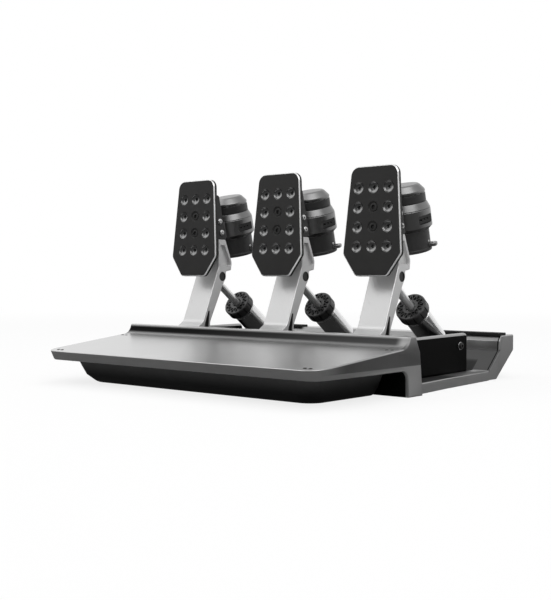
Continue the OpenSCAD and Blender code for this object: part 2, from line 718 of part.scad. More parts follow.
// Clevises that hold the struts' lower ends, and their pins
module strut_clevises() color("black") each_pedal() difference() {
  for (s = SIDES) translate([s * (ear_x + ear_t / 2), 0, 0]) {
    bar(anchor, ear_r, ear_t);
    along_x(ear_t) polygon([[anchor.x - ear_r - ear_foot, floor_t], [rear_foot - cut, floor_t],
      [anchor.x + ear_r, anchor.y], [anchor.x - ear_r, anchor.y]]);
  }
  bar(anchor, clevis_pin_r, 4 * ear_x);
}
module clevis_pins() color("silver") each_pedal() {
  bar(anchor, clevis_pin_r, 2 * (ear_x + ear_t));
  for (s = SIDES) translate([s * (ear_x + ear_t + clevis_head_t / 2), 0, 0])
    bar(anchor, clevis_pin_r + clevis_head_w, clevis_head_t);
}

// Pedal plate: tapered outline, rows of dimples with a hole in each, two of them with screws
screw_rows = [-dimple_row / 2, dimple_row / 2];
screw_sink = dimple_d / 2;
plate_side_low = -plate_down + plate_chamfer_h;
module plate_screw() rotate([-90, 0, 0]) {
  cylinder(r = plate_screw_head_r, h = plate_screw_head);
  cylinder(r = plate_screw_r, h = plate_t + bracket_web - screw_sink - screw_tip_gap);
}
module plate() color([0.16, 0.16, 0.17]) on_face() difference() {
  translate([0, plate_t, 0]) rotate([90, 0, 0]) linear_extrude(plate_t) polygon(rounded([
    [-plate_foot_w / 2, -plate_down, plate_low_r], [plate_foot_w / 2, -plate_down, plate_low_r],
    [plate_w / 2, plate_side_low, plate_low_r], [plate_top_w / 2, plate_up, plate_corner_r],
    [-plate_top_w / 2, plate_up, plate_corner_r], [-plate_w / 2, plate_side_low, plate_low_r]]));
  ball_r = (dimple_r * dimple_r + dimple_d * dimple_d) / (2 * dimple_d);
  for (col = [-1 : 1], row = [-1.5 : 1.5]) translate([col * dimple_col, 0, row * dimple_row]) {
    translate([0, dimple_d - ball_r, 0]) sphere(ball_r);
    rotate([-90, 0, 0]) cylinder(r = dimple_hole_r, h = plate_t + cut);
  }
  for (row = screw_rows) translate([0, 0, row]) {
    translate([0, screw_sink, 0]) plate_screw();
    rotate([-90, 0, 0]) cylinder(r = plate_screw_head_r, h = dimple_d);
  }
}
module plate_screws() color("black") on_face() for (row = screw_rows)
  translate([0, screw_sink, row]) plate_screw();

// Bracket between plate, arm and reactor, and its bolts
bolt_at = [for (h = [head_h + bolt_low, head_h + bolt_high]) [bracket_rear(h) - bracket_back - bolt_in, h]];
module bracket_bolt_bodies() for (s = SIDES, at = bolt_at) translate([s * bracket_w / 2, at.x, at.y])
  rotate([0, s * 90, 0]) {
    cylinder(r = bracket_bolt_r, h = bracket_bolt_head);
    translate([0, 0, -bracket_bolt_l]) cylinder(r = bracket_bolt_shank_r, h = bracket_bolt_l);
  }
tongue_top = head_h + tongue_h;
module tongue_shape(grow) {
  foot_z = head_h - grow;
  along_x(tongue_w) polygon([[plate_back(foot_z) + bracket_web, foot_z],
    [bracket_rear(foot_z) - bracket_back, foot_z], [bracket_rear(tongue_top) - bracket_back, tongue_top],
    [plate_back(tongue_top) + bracket_web, tongue_top]]);
}
module bracket() color([0.1, 0.1, 0.1]) difference() {
  along_x(bracket_w) polygon([[plate_back(bracket_low), bracket_low], [head_front, bracket_low],
    [head_front, head_h], [bracket_rear(head_h), head_h], [bracket_rear(bracket_h), bracket_h],
    [plate_back(bracket_h), bracket_h]]);
  tongue_shape(cut);
  bracket_bolt_bodies();
  on_face() for (row = screw_rows) translate([0, screw_sink, row]) plate_screw();
}
module bracket_bolts() color("silver") bracket_bolt_bodies();

// Arm: hub and toe at the pivot, leaning beam, head under the bracket, tongue inside it
arm_outline = [[head_front, head_h, edge_r], [head_front, head_low + bend_up, bend_r], [foot.x, foot.y, 0],
  [foot.x - toe_h / 2, foot.y - toe_h, toe_h], [foot.x - toe_d, foot.y - toe_h - toe_drop, edge_r],
  [pivot.x - hub_r, pivot.y, 0], [pivot.x + hub_r, pivot.y, 0], [foot.x + foot_d, foot.y, foot_r],
  [pin.x + edge_r, pin.y - boss_r, boss_r], [pin.x + arm_back_d, pin.y - edge_r, 2 * edge_r],
  [pin.x + arm_back_d, head_low, edge_r], [head_front + head_d - edge_r, head_low + edge_r, edge_r],
  [head_front + head_d, head_low + head_bulge, bend_r / 2], [head_front + head_top_d, head_h, edge_r]];
head_pocket = [[head_front + pocket_rim, head_h - 2 * pocket_rim, 1],
  [head_front + head_top_d - pocket_rim / 2, head_h - 2 * pocket_rim, 1],
  [head_front + head_d - pocket_rim, head_low + head_bulge, 2],
  [head_front + head_d - pocket_rim, head_low + 2 * pocket_rim, 1],
  [head_front + pocket_rim, head_low + 2 * pocket_rim, 1]];
foot_pocket = [[foot.x + foot_d - pocket_rim, foot.y + foot_d],
  [foot.x + pocket_rim / 2, foot.y - 2 * pocket_rim],
  [foot.x + foot_d - pocket_rim, foot.y - 2 * pocket_rim]];
// Side view of the room that the rod needs as it swings
sweep_l = 4 * arm_back_d;
function sweep_edge(slope, side) = let (d = [cos(slope), -sin(slope)], n = (rod_r + eye_gap) * [-d.y, d.x])
  side > 0 ? [pin + n, pin + n + sweep_l * d] : [pin - n + sweep_l * d, pin - n];
rod_sweep = concat(sweep_edge(strut_slope - rod_swing - 2, 1), sweep_edge(strut_slope + 2, -1));
module arm() color("silver") difference() {
  union() {
    along_x(arm_w) polygon(rounded(arm_outline));
    bar(pivot, hub_r, arm_w);
    tongue_shape(0);
  }
  bar(pivot, shaft_r, arm_w + 2 * cut);
  bar(pin, pin_r, arm_w + 2 * cut);
  bar(pin, rod_eye_r + eye_gap, rod_eye_w + 2 * eye_gap);
  along_x(rod_eye_w + 2 * eye_gap) polygon(rod_sweep);
  for (s = SIDES) translate([s * (arm_w + cut) / 2, 0, 0]) {
    bar(pin, pin_head_r, 2 * pin_seat_d + cut);
    along_x(2 * pocket_d + cut) polygon(rounded(head_pocket));
    along_x(2 * pocket_d + cut) polygon(foot_pocket);
  }
  bracket_bolt_bodies();
  reactor_room();
}
module pivot_shaft() color("silver") bar(pivot, shaft_r, 2 * (shaft_end - sensor_gap / 2));

// Room round the reactor that the arm's head keeps free
module reactor_room() on_reactor() {
  translate([0, 0, -reactor_down - reactor_gap])
    cylinder(r = can_r + groove_d + reactor_gap, h = reactor_down);
  translate([0, 0, -ring_low - reactor_gap])
    cylinder(r = ring_r + reactor_gap, h = ring_low + ring_high + 2 * reactor_gap);
  translate([-pad_w / 2 - reactor_gap, -reactor_out - reactor_gap, -ring_low + cut - reactor_gap])
    cube([pad_w + 2 * reactor_gap, reactor_out, ring_low + ring_high - 2 * cut + 2 * reactor_gap]);
}
// Reactor: lower can with ring, port, lug and seat, upper can and the motor inside
module reactor_can() color([0.13, 0.13, 0.14]) on_reactor() difference() {
  union() {
    rotate_extrude() polygon([[0, -reactor_down], [can_r + groove_d, -reactor_down],
      [can_r + groove_d, -reactor_down + band_h], [can_r, -reactor_down + band_h + groove_d],
      [can_r, -ring_low - edge_r], [ring_r, -ring_low], [ring_r, ring_high], [cap_r, seat_top],
      [0, seat_top]]);
    translate([-pad_w / 2, -reactor_out, -ring_low + cut])
      cube([pad_w, reactor_out, ring_low + ring_high - 2 * cut]);
    rotate([0, 0, lug_turn]) translate([0, -lug_w / 2, -reactor_down + lug_up])
      cube([can_r + lug_d, lug_w, lug_t]);
  }
  translate([0, 0, -reactor_down + reactor_t]) cylinder(r = can_r - reactor_t, h = reactor_down + seat_top);
  translate([can_r, -port_w / 2, -ring_low / 2 - port_h / 2]) cube([ring_r, port_w, port_h]);
}
module reactor_cap() color([0.22, 0.22, 0.23]) on_reactor() difference() {
  seam = reactor_up - seam_down;
  rotate_extrude() polygon([[0, seat_top], [cap_r, seat_top], [cap_r, seam - groove_d],
    [cap_r - groove_d, seam], [cap_r, seam + groove_d], [cap_r, reactor_up - bevel_h],
    [cap_r - bevel_w + edge_r, reactor_up - edge_r], [cap_r - bevel_w, reactor_up], [0, reactor_up]]);
  translate([0, 0, seat_top - cut])
    cylinder(r = cap_r - bevel_w, h = reactor_up - seat_top - reactor_t + cut);
}
module reactor_motor() color("peru") on_reactor() translate([0, 0, -reactor_down + reactor_t])
  cylinder(r = motor_r, h = reactor_down + reactor_up - 2 * reactor_t - motor_gap);

// Strut: rod with eye and piston, its pin, the preload cap, the cylinder with its eye, and the spring
module rod() color("gainsboro") difference() {
  union() {
    bar(pin, rod_eye_r, rod_eye_w);
    on_strut() {
      cylinder(r = rod_r, h = piston_start + cut);
      translate([0, 0, piston_start]) cylinder(r = bore_r - run_gap, h = piston_l);
    }
  }
  bar(pin, pin_r + run_gap, rod_eye_w + 2 * cut);
}
module rod_pin() color("black") {
  bar(pin, pin_r, arm_w - 2 * pin_seat_d);
  for (s = SIDES) translate([s * (arm_w - pin_seat_d - pin_sink) / 2, 0, 0])
    bar(pin, pin_head_r, pin_seat_d - pin_sink);
}
module preload_cap() color([0.1, 0.1, 0.1]) on_strut() difference() {
  rotate_extrude() polygon([[rod_r + cap_rod_gap, cap_face], [preload_r - cap_bevel, cap_face],
    [preload_r, cap_face + cap_bevel], [preload_r, cap_face + preload_l - cap_bevel],
    [preload_r - cap_bevel, cap_face + preload_l], [neck_r + cap_run_gap, cap_face + preload_l],
    [neck_r + cap_run_gap, cap_face + preload_face_t], [rod_r + cap_rod_gap, cap_face + preload_face_t]]);
  for (i = [0 : notch_n - 1]) rotate([0, 0, i * 360 / notch_n]) translate([preload_r, 0, cap_face - cut])
    cylinder(r = notch_r, h = preload_l + 2 * cut, $fn = 16);
  for (i = [0 : face_hole_n - 1]) rotate([0, 0, i * 360 / face_hole_n])
    translate([(rod_r + preload_r) / 2, 0, cap_face - cut])
      cylinder(r = face_hole_r, h = preload_face_t / 2 + cut, $fn = 16);
}
module cylinder_body() on_strut() {
  rotate_extrude() polygon([[rod_r + run_gap, front_wall], [neck_r, front_wall], [neck_r, neck_end],
    [cyl_r, neck_end], [cyl_r, cyl_end - edge_r], [cyl_r - edge_r, cyl_end], [0, cyl_end], [0, bore_end],
    [bore_r, bore_end], [bore_r, bore_start], [rod_r + run_gap, bore_start]]);
  translate([-cyl_eye_w / 2, -cyl_eye_r, cyl_end - cut]) cube([cyl_eye_w, 2 * cyl_eye_r, cyl_end_gap + cut]);
}
module strut_cylinder() color("silver") difference() {
  union() {
    cylinder_body();
    bar(anchor, cyl_eye_r, cyl_eye_w);
  }
  bar(anchor, clevis_pin_r + eye_play, cyl_eye_w + 2 * cut);
}
// One unbroken tube wound about the strut's axis
curl_rings = 8;
wire_sides = 6;
spring_l = spring_ends[1] - spring_ends[0];
function ring_angle(i) = 360 * i / curl_rings;
function ring_mid(i) = [spring_r * cos(ring_angle(i)), spring_r * sin(ring_angle(i)),
  spring_ends[0] + spring_l * i / (curls * curl_rings)];
function ring_point(i, k) = ring_mid(i) + wire_r * (cos(360 * k / wire_sides) * [cos(ring_angle(i)),
  sin(ring_angle(i)), 0] + sin(360 * k / wire_sides) * [0, 0, 1]);
ring_last = curls * curl_rings;
spring_points = [for (i = [0 : ring_last], k = [0 : wire_sides - 1]) ring_point(i, k)];
spring_faces = concat(
  [for (i = [0 : ring_last - 1], k = [0 : wire_sides - 1]) each let (a = i * wire_sides + k,
    b = i * wire_sides + (k + 1) % wire_sides) [[a, b, b + wire_sides], [a, b + wire_sides, a + wire_sides]]],
  [for (k = [1 : wire_sides - 2]) each let (e = ring_last * wire_sides)
    [[0, k + 1, k], [e, e + k, e + k + 1]]]);
spring_least_gap = min([for (i = [0 : ring_last - curl_rings]) norm(ring_mid(i + curl_rings) - ring_mid(i))])
  - 2 * wire_r;
echo(spring_least_gap = spring_least_gap);
module spring() color("gray") on_strut() polyhedron(spring_points, spring_faces);

heel_deck();
deck_screws();
under_tray();
front_rail();
end_columns();
floor_pan();
rear_rail();
rear_trim();
side_walls();
wall_bolt();
control_box();
pivot_cheeks();
pivot_bushes();
position_sensors();
strut_clevises();
clevis_pins();
for (p = PEDALS) translate([pedal_x(p), 0, 0]) {
  plate();
  plate_screws();
  bracket();
  bracket_bolts();
  arm();
  pivot_shaft();
  reactor_can();
  reactor_cap();
  reactor_motor();
  rod();
  rod_pin();
  preload_cap();
  strut_cylinder();
  spring();
}
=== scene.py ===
import json
import math
import bmesh
import bpy
from mathutils import Matrix, Vector
from mathutils.geometry import tessellate_polygon


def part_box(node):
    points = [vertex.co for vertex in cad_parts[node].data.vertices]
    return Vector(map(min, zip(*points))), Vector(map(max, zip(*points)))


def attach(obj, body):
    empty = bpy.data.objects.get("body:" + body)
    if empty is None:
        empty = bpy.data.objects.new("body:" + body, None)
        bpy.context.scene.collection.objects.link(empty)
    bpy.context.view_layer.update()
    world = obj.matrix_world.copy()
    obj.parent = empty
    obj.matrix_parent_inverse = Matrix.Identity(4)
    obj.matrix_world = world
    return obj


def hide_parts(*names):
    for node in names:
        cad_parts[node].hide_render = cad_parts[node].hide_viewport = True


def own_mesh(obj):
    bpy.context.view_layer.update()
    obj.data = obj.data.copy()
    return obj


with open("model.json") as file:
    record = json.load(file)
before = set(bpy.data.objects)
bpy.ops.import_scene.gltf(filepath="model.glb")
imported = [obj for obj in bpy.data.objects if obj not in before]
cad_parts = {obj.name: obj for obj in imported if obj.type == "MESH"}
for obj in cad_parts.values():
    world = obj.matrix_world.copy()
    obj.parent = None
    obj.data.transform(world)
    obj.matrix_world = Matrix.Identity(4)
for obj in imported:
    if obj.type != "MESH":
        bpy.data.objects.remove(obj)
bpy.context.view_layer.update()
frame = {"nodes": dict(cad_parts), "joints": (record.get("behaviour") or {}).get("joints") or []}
scene = bpy.context.scene
scene.view_settings.view_transform = "Standard"
mm = 0.001
print("frame loaded:", len(frame["nodes"]), "nodes")

# Camera at the photograph's viewing angle, millimetres and degrees, clip in metres
cameraAt = {"place": (651.84, -816.73, 116.0), "yaw": 38.68, "pitch": 1.52, "lens": 57.12, "sensor": 36.0,
            "clip": (0.05, 50.0)}


def addToScene(name, data):
    made = bpy.data.objects.new(name, data)
    scene.collection.objects.link(made)
    return made


def setCamera(s):
    data = bpy.data.cameras.new("photoCamera")
    data.lens = s["lens"]
    data.sensor_width = s["sensor"]
    data.clip_start, data.clip_end = s["clip"]
    yaw, pitch = math.radians(s["yaw"]), math.radians(s["pitch"])
    ahead = Vector((-math.sin(yaw) * math.cos(pitch), math.cos(yaw) * math.cos(pitch), -math.sin(pitch)))
    camera = addToScene("photoCamera", data)
    camera.location = Vector(s["place"]) * mm
    camera.rotation_euler = ahead.to_track_quat("-Z", "Y").to_euler()
    scene.camera = camera


setCamera(cameraAt)

# Places that the frame gives, in millimetres
joints = {j["name"]: j for j in frame["joints"]}
pedals = ["clutch", "brake", "throttle"]
pedalX = {p: joints[p + "_press"]["pos_m"][0] / mm for p in pedals}
pivotY, pivotZ = [c / mm for c in joints["brake_press"]["pos_m"][1:]]
pinY, pinZ = [c / mm for c in joints["brake_rod_swing"]["pos_m"][1:]]
strutAxis = -Vector(joints["brake_strut_slide"]["axis"]).normalized()
strutWay = strutAxis.yz
strutSlope = math.degrees(math.atan2(strutAxis.z, strutAxis.y))
bothSides = [(x, side) for x in pedalX.values() for side in (-1, 1)]


def boxOf(node):
    low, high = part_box(node)
    return [c / mm for c in low], [c / mm for c in high]


deckLow, deckHigh = boxOf("heel_deck")
panLow, panHigh = boxOf("floor_pan")
railHigh, rearHigh = boxOf("front_rail")[1], boxOf("rear_rail")[1]
floorTop = panHigh[2]


# Local frames: outline in local x and y, depth in local z, millimetres in and metres out
def frameAt(origin, xAxis, yAxis):
    x, y = Vector(xAxis).normalized(), Vector(yAxis).normalized()
    turn = Matrix((x, y, x.cross(y))).transposed().to_4x4()
    return Matrix.Translation(Vector(origin) * mm) @ turn @ Matrix.Scale(mm, 4)


planFrame = frameAt((0, 0, 0), (1, 0, 0), (0, 1, 0))
sideFrame = frameAt((0, 0, 0), (0, 1, 0), (0, 0, 1))
ownFrame = Matrix.Identity(4)


# Wraps a socket, so that shader and tree maths read as sums
class Wire:
    def __init__(self, tree, socket=None):
        self.tree = tree
        self.socket = socket

    def __getitem__(self, key):
        return Wire(self.tree, self.socket.node.outputs[key])

    def node(self, kind, settings=None, sockets=None):
        made = self.tree.nodes.new(kind)
        for key, value in (settings or {}).items():
            setattr(made, key, value)
        for key, value in (sockets or {}).items():
            if isinstance(value, Wire):
                self.tree.links.new(value.socket, made.inputs[key])
            else:
                made.inputs[key].default_value = value
        return Wire(self.tree, made.outputs[0]) if made.outputs else None

    def maths(self, operation, a, b):
        return self.node("ShaderNodeMath", {"operation": operation}, {0: a, 1: b})

    def most(self, other):
        return self.maths("MAXIMUM", self, other)

    def least(self, other):
        return self.maths("MINIMUM", self, other)

    def __add__(self, other):
        return self.maths("ADD", self, other)

    def __sub__(self, other):
        return self.maths("SUBTRACT", self, other)

    def __rsub__(self, other):
        return self.maths("SUBTRACT", other, self)

    def __mul__(self, other):
        return self.maths("MULTIPLY", self, other)

    __radd__ = __add__
    __rmul__ = __mul__


# Finishes
def startFinish(name):
    finish = bpy.data.materials.new(name)
    finish.use_nodes = True
    finish.node_tree.nodes.clear()
    return finish, Wire(finish.node_tree)


def closeFinish(bench, sockets):
    shader = bench.node("ShaderNodeBsdfPrincipled", {}, sockets)
    bench.node("ShaderNodeOutputMaterial", {}, {"Surface": shader})


def coordsOf(bench):
    return bench.node("ShaderNodeTexCoord")["Object"]


def placeOf(bench):
    return bench.node("ShaderNodeSeparateXYZ", {}, {0: coordsOf(bench)})


def grain(bench, scale, detail=2.0, stretch=(1, 1, 1)):
    turned = bench.node("ShaderNodeMapping", {}, {"Vector": coordsOf(bench), "Scale": stretch})
    return bench.node("ShaderNodeTexNoise", {}, {"Vector": turned, "Scale": scale, "Detail": detail})


# From the floor value at one limit to 1 at the other, whichever of the two is larger
def window(bench, value, first, full, floor=0.0):
    limits = {"Value": value, "From Min": first, "From Max": full, "To Min": floor}
    return bench.node("ShaderNodeMapRange", {"interpolation_type": "SMOOTHSTEP"}, limits)


def tint(bench, factor, a, b):
    return bench.node("ShaderNodeMix", {"data_type": "RGBA"}, {0: factor, 6: a, 7: b})[2]


def relief(bench, height, strength, depth):
    return bench.node("ShaderNodeBump", {}, {"Strength": strength, "Distance": depth * mm, "Height": height})


def grey(level, warm=0.0):
    return (level * (1 + warm), level, level * (1 - warm), 1.0)


# Painted, anodised or moulded: cloudy tone, fine grain, faint scuffs, and on the tray painted shade that
# darkens it to black near the ground
coatKeys = ("tone", "rough", "gloss", "cloud", "grain", "relief", "scuff", "warm")
coats = {
    "trayBlack": (0.06, 0.5, 0.12, 40.0, 1900.0, 0.25, 0.15, 0.0),
    "trimRubber": (0.012, 0.72, 0.3, 60.0, 1500.0, 0.3, 0.1, 0.0),
    "wallPaint": (0.003, 0.5, 0.04, 30.0, 2400.0, 0.15, 0.12, 0.0),
    "boxPlastic": (0.022, 0.55, 0.4, 50.0, 2200.0, 0.3, 0.1, 0.0),
    "plateBlack": (0.021, 0.5, 0.25, 55.0, 2100.0, 0.35, 0.12, 0.02),
    "bracketBlack": (0.030, 0.45, 0.35, 55.0, 2300.0, 0.25, 0.1, 0.0),
    "blackOxide": (0.014, 0.4, 0.45, 120.0, 2600.0, 0.1, 0.3, 0.02),
    "capGrey": (0.030, 0.34, 0.5, 90.0, 2500.0, 0.1, 0.2, 0.0),
    "knurlBlack": (0.004, 0.38, 0.4, 90.0, 2500.0, 0.1, 0.3, 0.0),
}
coatWear = {"fades": {"trayBlack": (0.002, 0.032)}, "fadeTone": 0.0008, "cloudTone": 0.14, "scuffTone": 2.2,
            "scuffScale": 90.0, "scuffLay": (1.0, 0.12, 1.0), "scuffAt": (0.62, 0.78), "cloudRough": 0.12,
            "grainRough": 0.1, "scuffRough": 0.1, "depth": 0.12}


def coatFinish(name, s, wear):
    finish, bench = startFinish(name)
    tone, warm, vary = s["tone"], s["warm"], wear["cloudTone"]
    cloud = grain(bench, s["cloud"])
    fine = grain(bench, s["grain"], 3.0)
    streaks = grain(bench, wear["scuffScale"], 4.0, wear["scuffLay"])
    scuff = window(bench, streaks, *wear["scuffAt"]) * s["scuff"]
    colour = tint(bench, cloud, grey(tone * (1 - vary), warm), grey(tone * (1 + vary), warm))
    colour = tint(bench, scuff, colour, grey(tone * wear["scuffTone"], warm))
    # Painted shade: the tray darkens towards black near the ground
    if name in wear["fades"]:
        lit = window(bench, placeOf(bench)["Z"], *wear["fades"][name])
        colour = tint(bench, lit, grey(wear["fadeTone"]), colour)
    rough = s["rough"] + (cloud - 0.5) * wear["cloudRough"] + (fine - 0.5) * wear["grainRough"]
    closeFinish(bench, {"Base Color": colour, "Roughness": rough + scuff * wear["scuffRough"],
                        "Specular IOR Level": s["gloss"],
                        "Normal": relief(bench, fine, s["relief"], wear["depth"])})
    return finish


# Bare or plated metal: brush lines along one axis, handling marks
even = (1.0, 1.0, 1.0)
metalKeys = ("tone", "rough", "metal", "grain", "lay", "relief", "mark", "warm")
metals = {
    "armSilver": (0.62, 0.34, 0.45, 900.0, (1.0, 1.0, 0.05), 0.12, 0.15, 0.0),
    "reactorGrey": (0.25, 0.36, 1.0, 2400.0, even, 0.08, 0.1, 0.0),
    "rodSteel": (0.9, 0.24, 0.7, 1400.0, (1.0, 0.2, 1.0), 0.02, 0.1, 0.0),
    "chromeSteel": (0.80, 0.2, 1.0, 1400.0, (0.2, 1.0, 1.0), 0.02, 0.12, 0.0),
    "brightSteel": (0.66, 0.24, 1.0, 1800.0, even, 0.08, 0.25, 0.0),
    "cupSatin": (0.22, 0.25, 1.0, 1800.0, even, 0.05, 0.1, 0.0),
    # Painted highlight for the side walls' top edges
    "wallEdge": (0.42, 0.34, 1.0, 1500.0, (1.0, 0.1, 1.0), 0.05, 0.1, 0.0),
    # Bare-metal plate chamfers brightened as a painted highlight; on the arms' rims a painted highlight only
    "cutEdge": (0.85, 0.3, 0.55, 1500.0, (1.0, 1.0, 0.2), 0.05, 0.2, 0.0),
    "bushBronze": (0.42, 0.38, 1.0, 2200.0, even, 0.2, 0.25, 0.35),
    "motorSteel": (0.45, 0.34, 1.0, 1200.0, (1.0, 1.0, 0.1), 0.1, 0.2, 0.02),
    "springSteel": (0.35, 0.32, 1.0, 1600.0, even, 0.1, 0.3, 0.02),
}
metalWear = {"brushTone": 0.93, "markTone": 0.7, "cloud": 45.0, "markScale": 160.0, "markAt": (0.6, 0.75),
             "brushRough": 0.5, "cloudRough": 0.06, "markRough": 0.12, "depth": 0.05}


def metalFinish(name, s, wear):
    finish, bench = startFinish(name)
    tone, warm = s["tone"], s["warm"]
    brush = grain(bench, s["grain"], 3.0, s["lay"])
    cloud = grain(bench, wear["cloud"])
    mark = window(bench, grain(bench, wear["markScale"], 4.0), *wear["markAt"]) * s["mark"]
    colour = tint(bench, brush, grey(tone * wear["brushTone"], warm), grey(tone, warm))
    colour = tint(bench, mark, colour, grey(tone * wear["markTone"], warm))
    rough = s["rough"] + (brush - 0.5) * s["rough"] * wear["brushRough"]
    rough = rough + (cloud - 0.5) * wear["cloudRough"] + mark * wear["markRough"]
    closeFinish(bench, {"Base Color": colour, "Roughness": rough, "Metallic": s["metal"],
                        "Normal": relief(bench, brush, s["relief"], wear["depth"])})
    return finish


# Casting: a coat with painted shade, black by place in the cove, on the upper band of the end faces, inside
# the front rail, on the floor strip, under the deck and on the rear rail's slope and bevel, and a black seam
# line at the rear rail's ends. A mask is its strength and the spans that it rises over, in metres
castCoat = {"tone": 0.46, "rough": 0.31, "metal": 0.9, "gloss": 0.15, "cloud": 26.0, "grain": 2600.0,
            "relief": 0.08, "depth": 0.12, "vary": 0.1, "cloudRough": 0.05, "grainRough": 0.08,
            "blackRough": 0.4, "blackTone": 0.004, "endAt": (0.1954, 0.0788), "sheetAt": (0.05114, 0.0927),
            "rearFoot": (0.140, 0.0105), "rearSlope": 1.268, "rearFace": 0.1668, "bevelFoot": 0.042,
            "bevelSlope": 0.83}
rearOnly = (("behind", 0.0020, 0.0012), ("y", 0.1395, 0.1415))
castMasks = {
    "coveEnd": (0.55, ("past", -0.016, -0.007), ("side", 0.0, 0.05)),
    "sheet": (1.0, ("over", -0.0018, -0.0008), ("y", -0.048, -0.052)),
    "cove": (1.0, ("z", 0.0462, 0.0506), ("z", 0.0580, 0.0542), ("y", -0.0375, -0.0385),
             ("side", 0.25, -0.15, 0.85)),
    "band": (0.66, ("past", -0.0045, -0.003), ("z", 0.0294, 0.0300), ("y", -0.17, -0.13),
             ("y", -0.0185, -0.0195), ("z", 0.058, 0.044, 0.4)),
    "inside": (0.9, ("x", 0.1652, 0.1646), ("y", -0.0365, -0.0355), ("z", 0.0555, 0.0535),
               ("y", 0.168, 0.150)),
    "strip": (0.9, ("z", 0.0095, 0.0100), ("z", 0.0113, 0.0108), ("x", 0.1640, 0.1650), ("x", 0.1840, 0.1830),
              ("y", -0.022, -0.018), ("y", 0.115, 0.055)),
    "under": (1.0, ("z", 0.0250, 0.0244), ("past", -0.0036, -0.0046), ("y", -0.036, -0.037)),
    "slope": (0.75, *rearOnly, ("z", 0.0335, 0.0315)),
    "bevel": (0.35, *rearOnly, ("z", 0.0420, 0.0425)),
    "seam": (1.0, *rearOnly, ("x", 0.1816, 0.1820), ("x", 0.1835, 0.1831)),
}


def castFinish(name, s, masks):
    finish, bench = startFinish(name)
    cloud = grain(bench, s["cloud"])
    fine = grain(bench, s["grain"], 3.0)
    place = placeOf(bench)
    side, y, z = place["X"], place["Y"], place["Z"]
    x = bench.maths("ABSOLUTE", side, 0.0)
    rearAt = (s["rearFoot"][0] + (z - s["rearFoot"][1]) * s["rearSlope"]).least(s["rearFace"])
    rearAt = rearAt.most(s["rearFace"] + (z - s["bevelFoot"]) * s["bevelSlope"])
    endAt = s["endAt"][0] + y * s["endAt"][1]
    sheetAt = s["sheetAt"][0] + y * s["sheetAt"][1]
    axes = {"side": side, "x": x, "y": y, "z": z, "behind": y - rearAt, "past": x - endAt,
            "over": z - sheetAt}

    def mask(part):
        made, *spans = masks[part]
        for axis, *span in spans:
            made = window(bench, axes[axis], *span) * made
        return made

    # Painted shade from the cove, band, inside, strip, under, slope and bevel masks; the seam mask is a dark
    # joint line
    shadeAndSeam = (mask("cove") * (1 - mask("coveEnd"))).most(mask("band") * (1 - mask("sheet")))
    for part in ("inside", "strip", "under", "slope", "bevel", "seam"):
        shadeAndSeam = shadeAndSeam.most(mask(part))
    tone = tint(bench, cloud, grey(s["tone"] * (1 - s["vary"])), grey(s["tone"] * (1 + s["vary"])))
    rough = s["rough"] + (cloud - 0.5) * s["cloudRough"] + (fine - 0.5) * s["grainRough"]
    closeFinish(bench, {"Base Color": tint(bench, shadeAndSeam, tone, grey(s["blackTone"])),
                        "Roughness": rough + shadeAndSeam * s["blackRough"],
                        "Metallic": s["metal"], "Specular IOR Level": s["gloss"],
                        "Normal": relief(bench, fine, s["relief"], s["depth"])})
    return finish


def finishesOf(make, keys, rows, wear):
    return {name: make(name, dict(zip(keys, row)), wear) for name, row in rows.items()}


finishes = finishesOf(coatFinish, coatKeys, coats, coatWear)
finishes.update(finishesOf(metalFinish, metalKeys, metals, metalWear))
finishes["castGrey"] = castFinish("castGrey", castCoat, castMasks)
print("finishes made:", len(finishes))


# Outlines: corners with a radius each become points
def rounded(corners, steps=6):
    points = []
    count = len(corners)
    for i, (a, b, r) in enumerate(corners):
        here = Vector((a, b))
        back = (Vector(corners[i - 1][:2]) - here).normalized()
        ahead = (Vector(corners[(i + 1) % count][:2]) - here).normalized()
        half = back.angle(ahead) / 2
        if r <= 0 or half > math.pi / 2 - 0.002:
            points.append(here)
            continue
        mid = here + (back + ahead).normalized() * (r / math.sin(half))
        first = here + back * (r / math.tan(half)) - mid
        last = here + ahead * (r / math.tan(half)) - mid
        start = math.atan2(first.y, first.x)
        sweep = (math.atan2(last.y, last.x) - start + math.pi) % (2 * math.pi) - math.pi
        for k in range(steps + 1):
            angle = start + sweep * k / steps
            points.append(mid + Vector((math.cos(angle), math.sin(angle))) * r)
    return points


def arc(mid, r, first, last, steps):
    turns = [math.radians(first + (last - first) * k / steps) for k in range(steps + 1)]
    return [Vector((mid[0] + r * math.cos(t), mid[1] + r * math.sin(t))) for t in turns]


def disc(mid, r, steps=64):
    return arc(mid, r, 0, 360 - 360 / steps, steps - 1)


def leftTurning(points):
    area = sum(p.x * q.y - q.x * p.y for p, q in zip(points, points[1:] + points[:1]))
    return points if area > 0 else points[::-1]


def inset(points, d):
    depths = d if isinstance(d, list) else [d] * len(points)
    moved = []
    for i, here in enumerate(points):
        e1 = (here - points[i - 1]).normalized()
        e2 = (points[(i + 1) % len(points)] - here).normalized()
        n1, n2 = Vector((-e1.y, e1.x)), Vector((-e2.y, e2.x))
        moved.append(here + (n1 + n2) * (depths[i] / (1 + n1.dot(n2))))
    return moved


# Two distances from a middle on one side, the lower first
def span(side, near, far, mid=0.0):
    return sorted((mid + side * near, mid + side * far))


# Rings of one outline, each with its inset and its height
def ringsAt(points, levels, at):
    return [[at @ Vector((p.x, p.y, t)) for p in inset(points, d)] for d, t in levels]


def rimSteps(r, steps):
    turns = [math.pi / 2 * k / steps for k in range(steps + 1)]
    return [(r * (1 - math.sin(t)), r * (1 - math.cos(t))) for t in turns] if r > 0 else [(0.0, 0.0)]


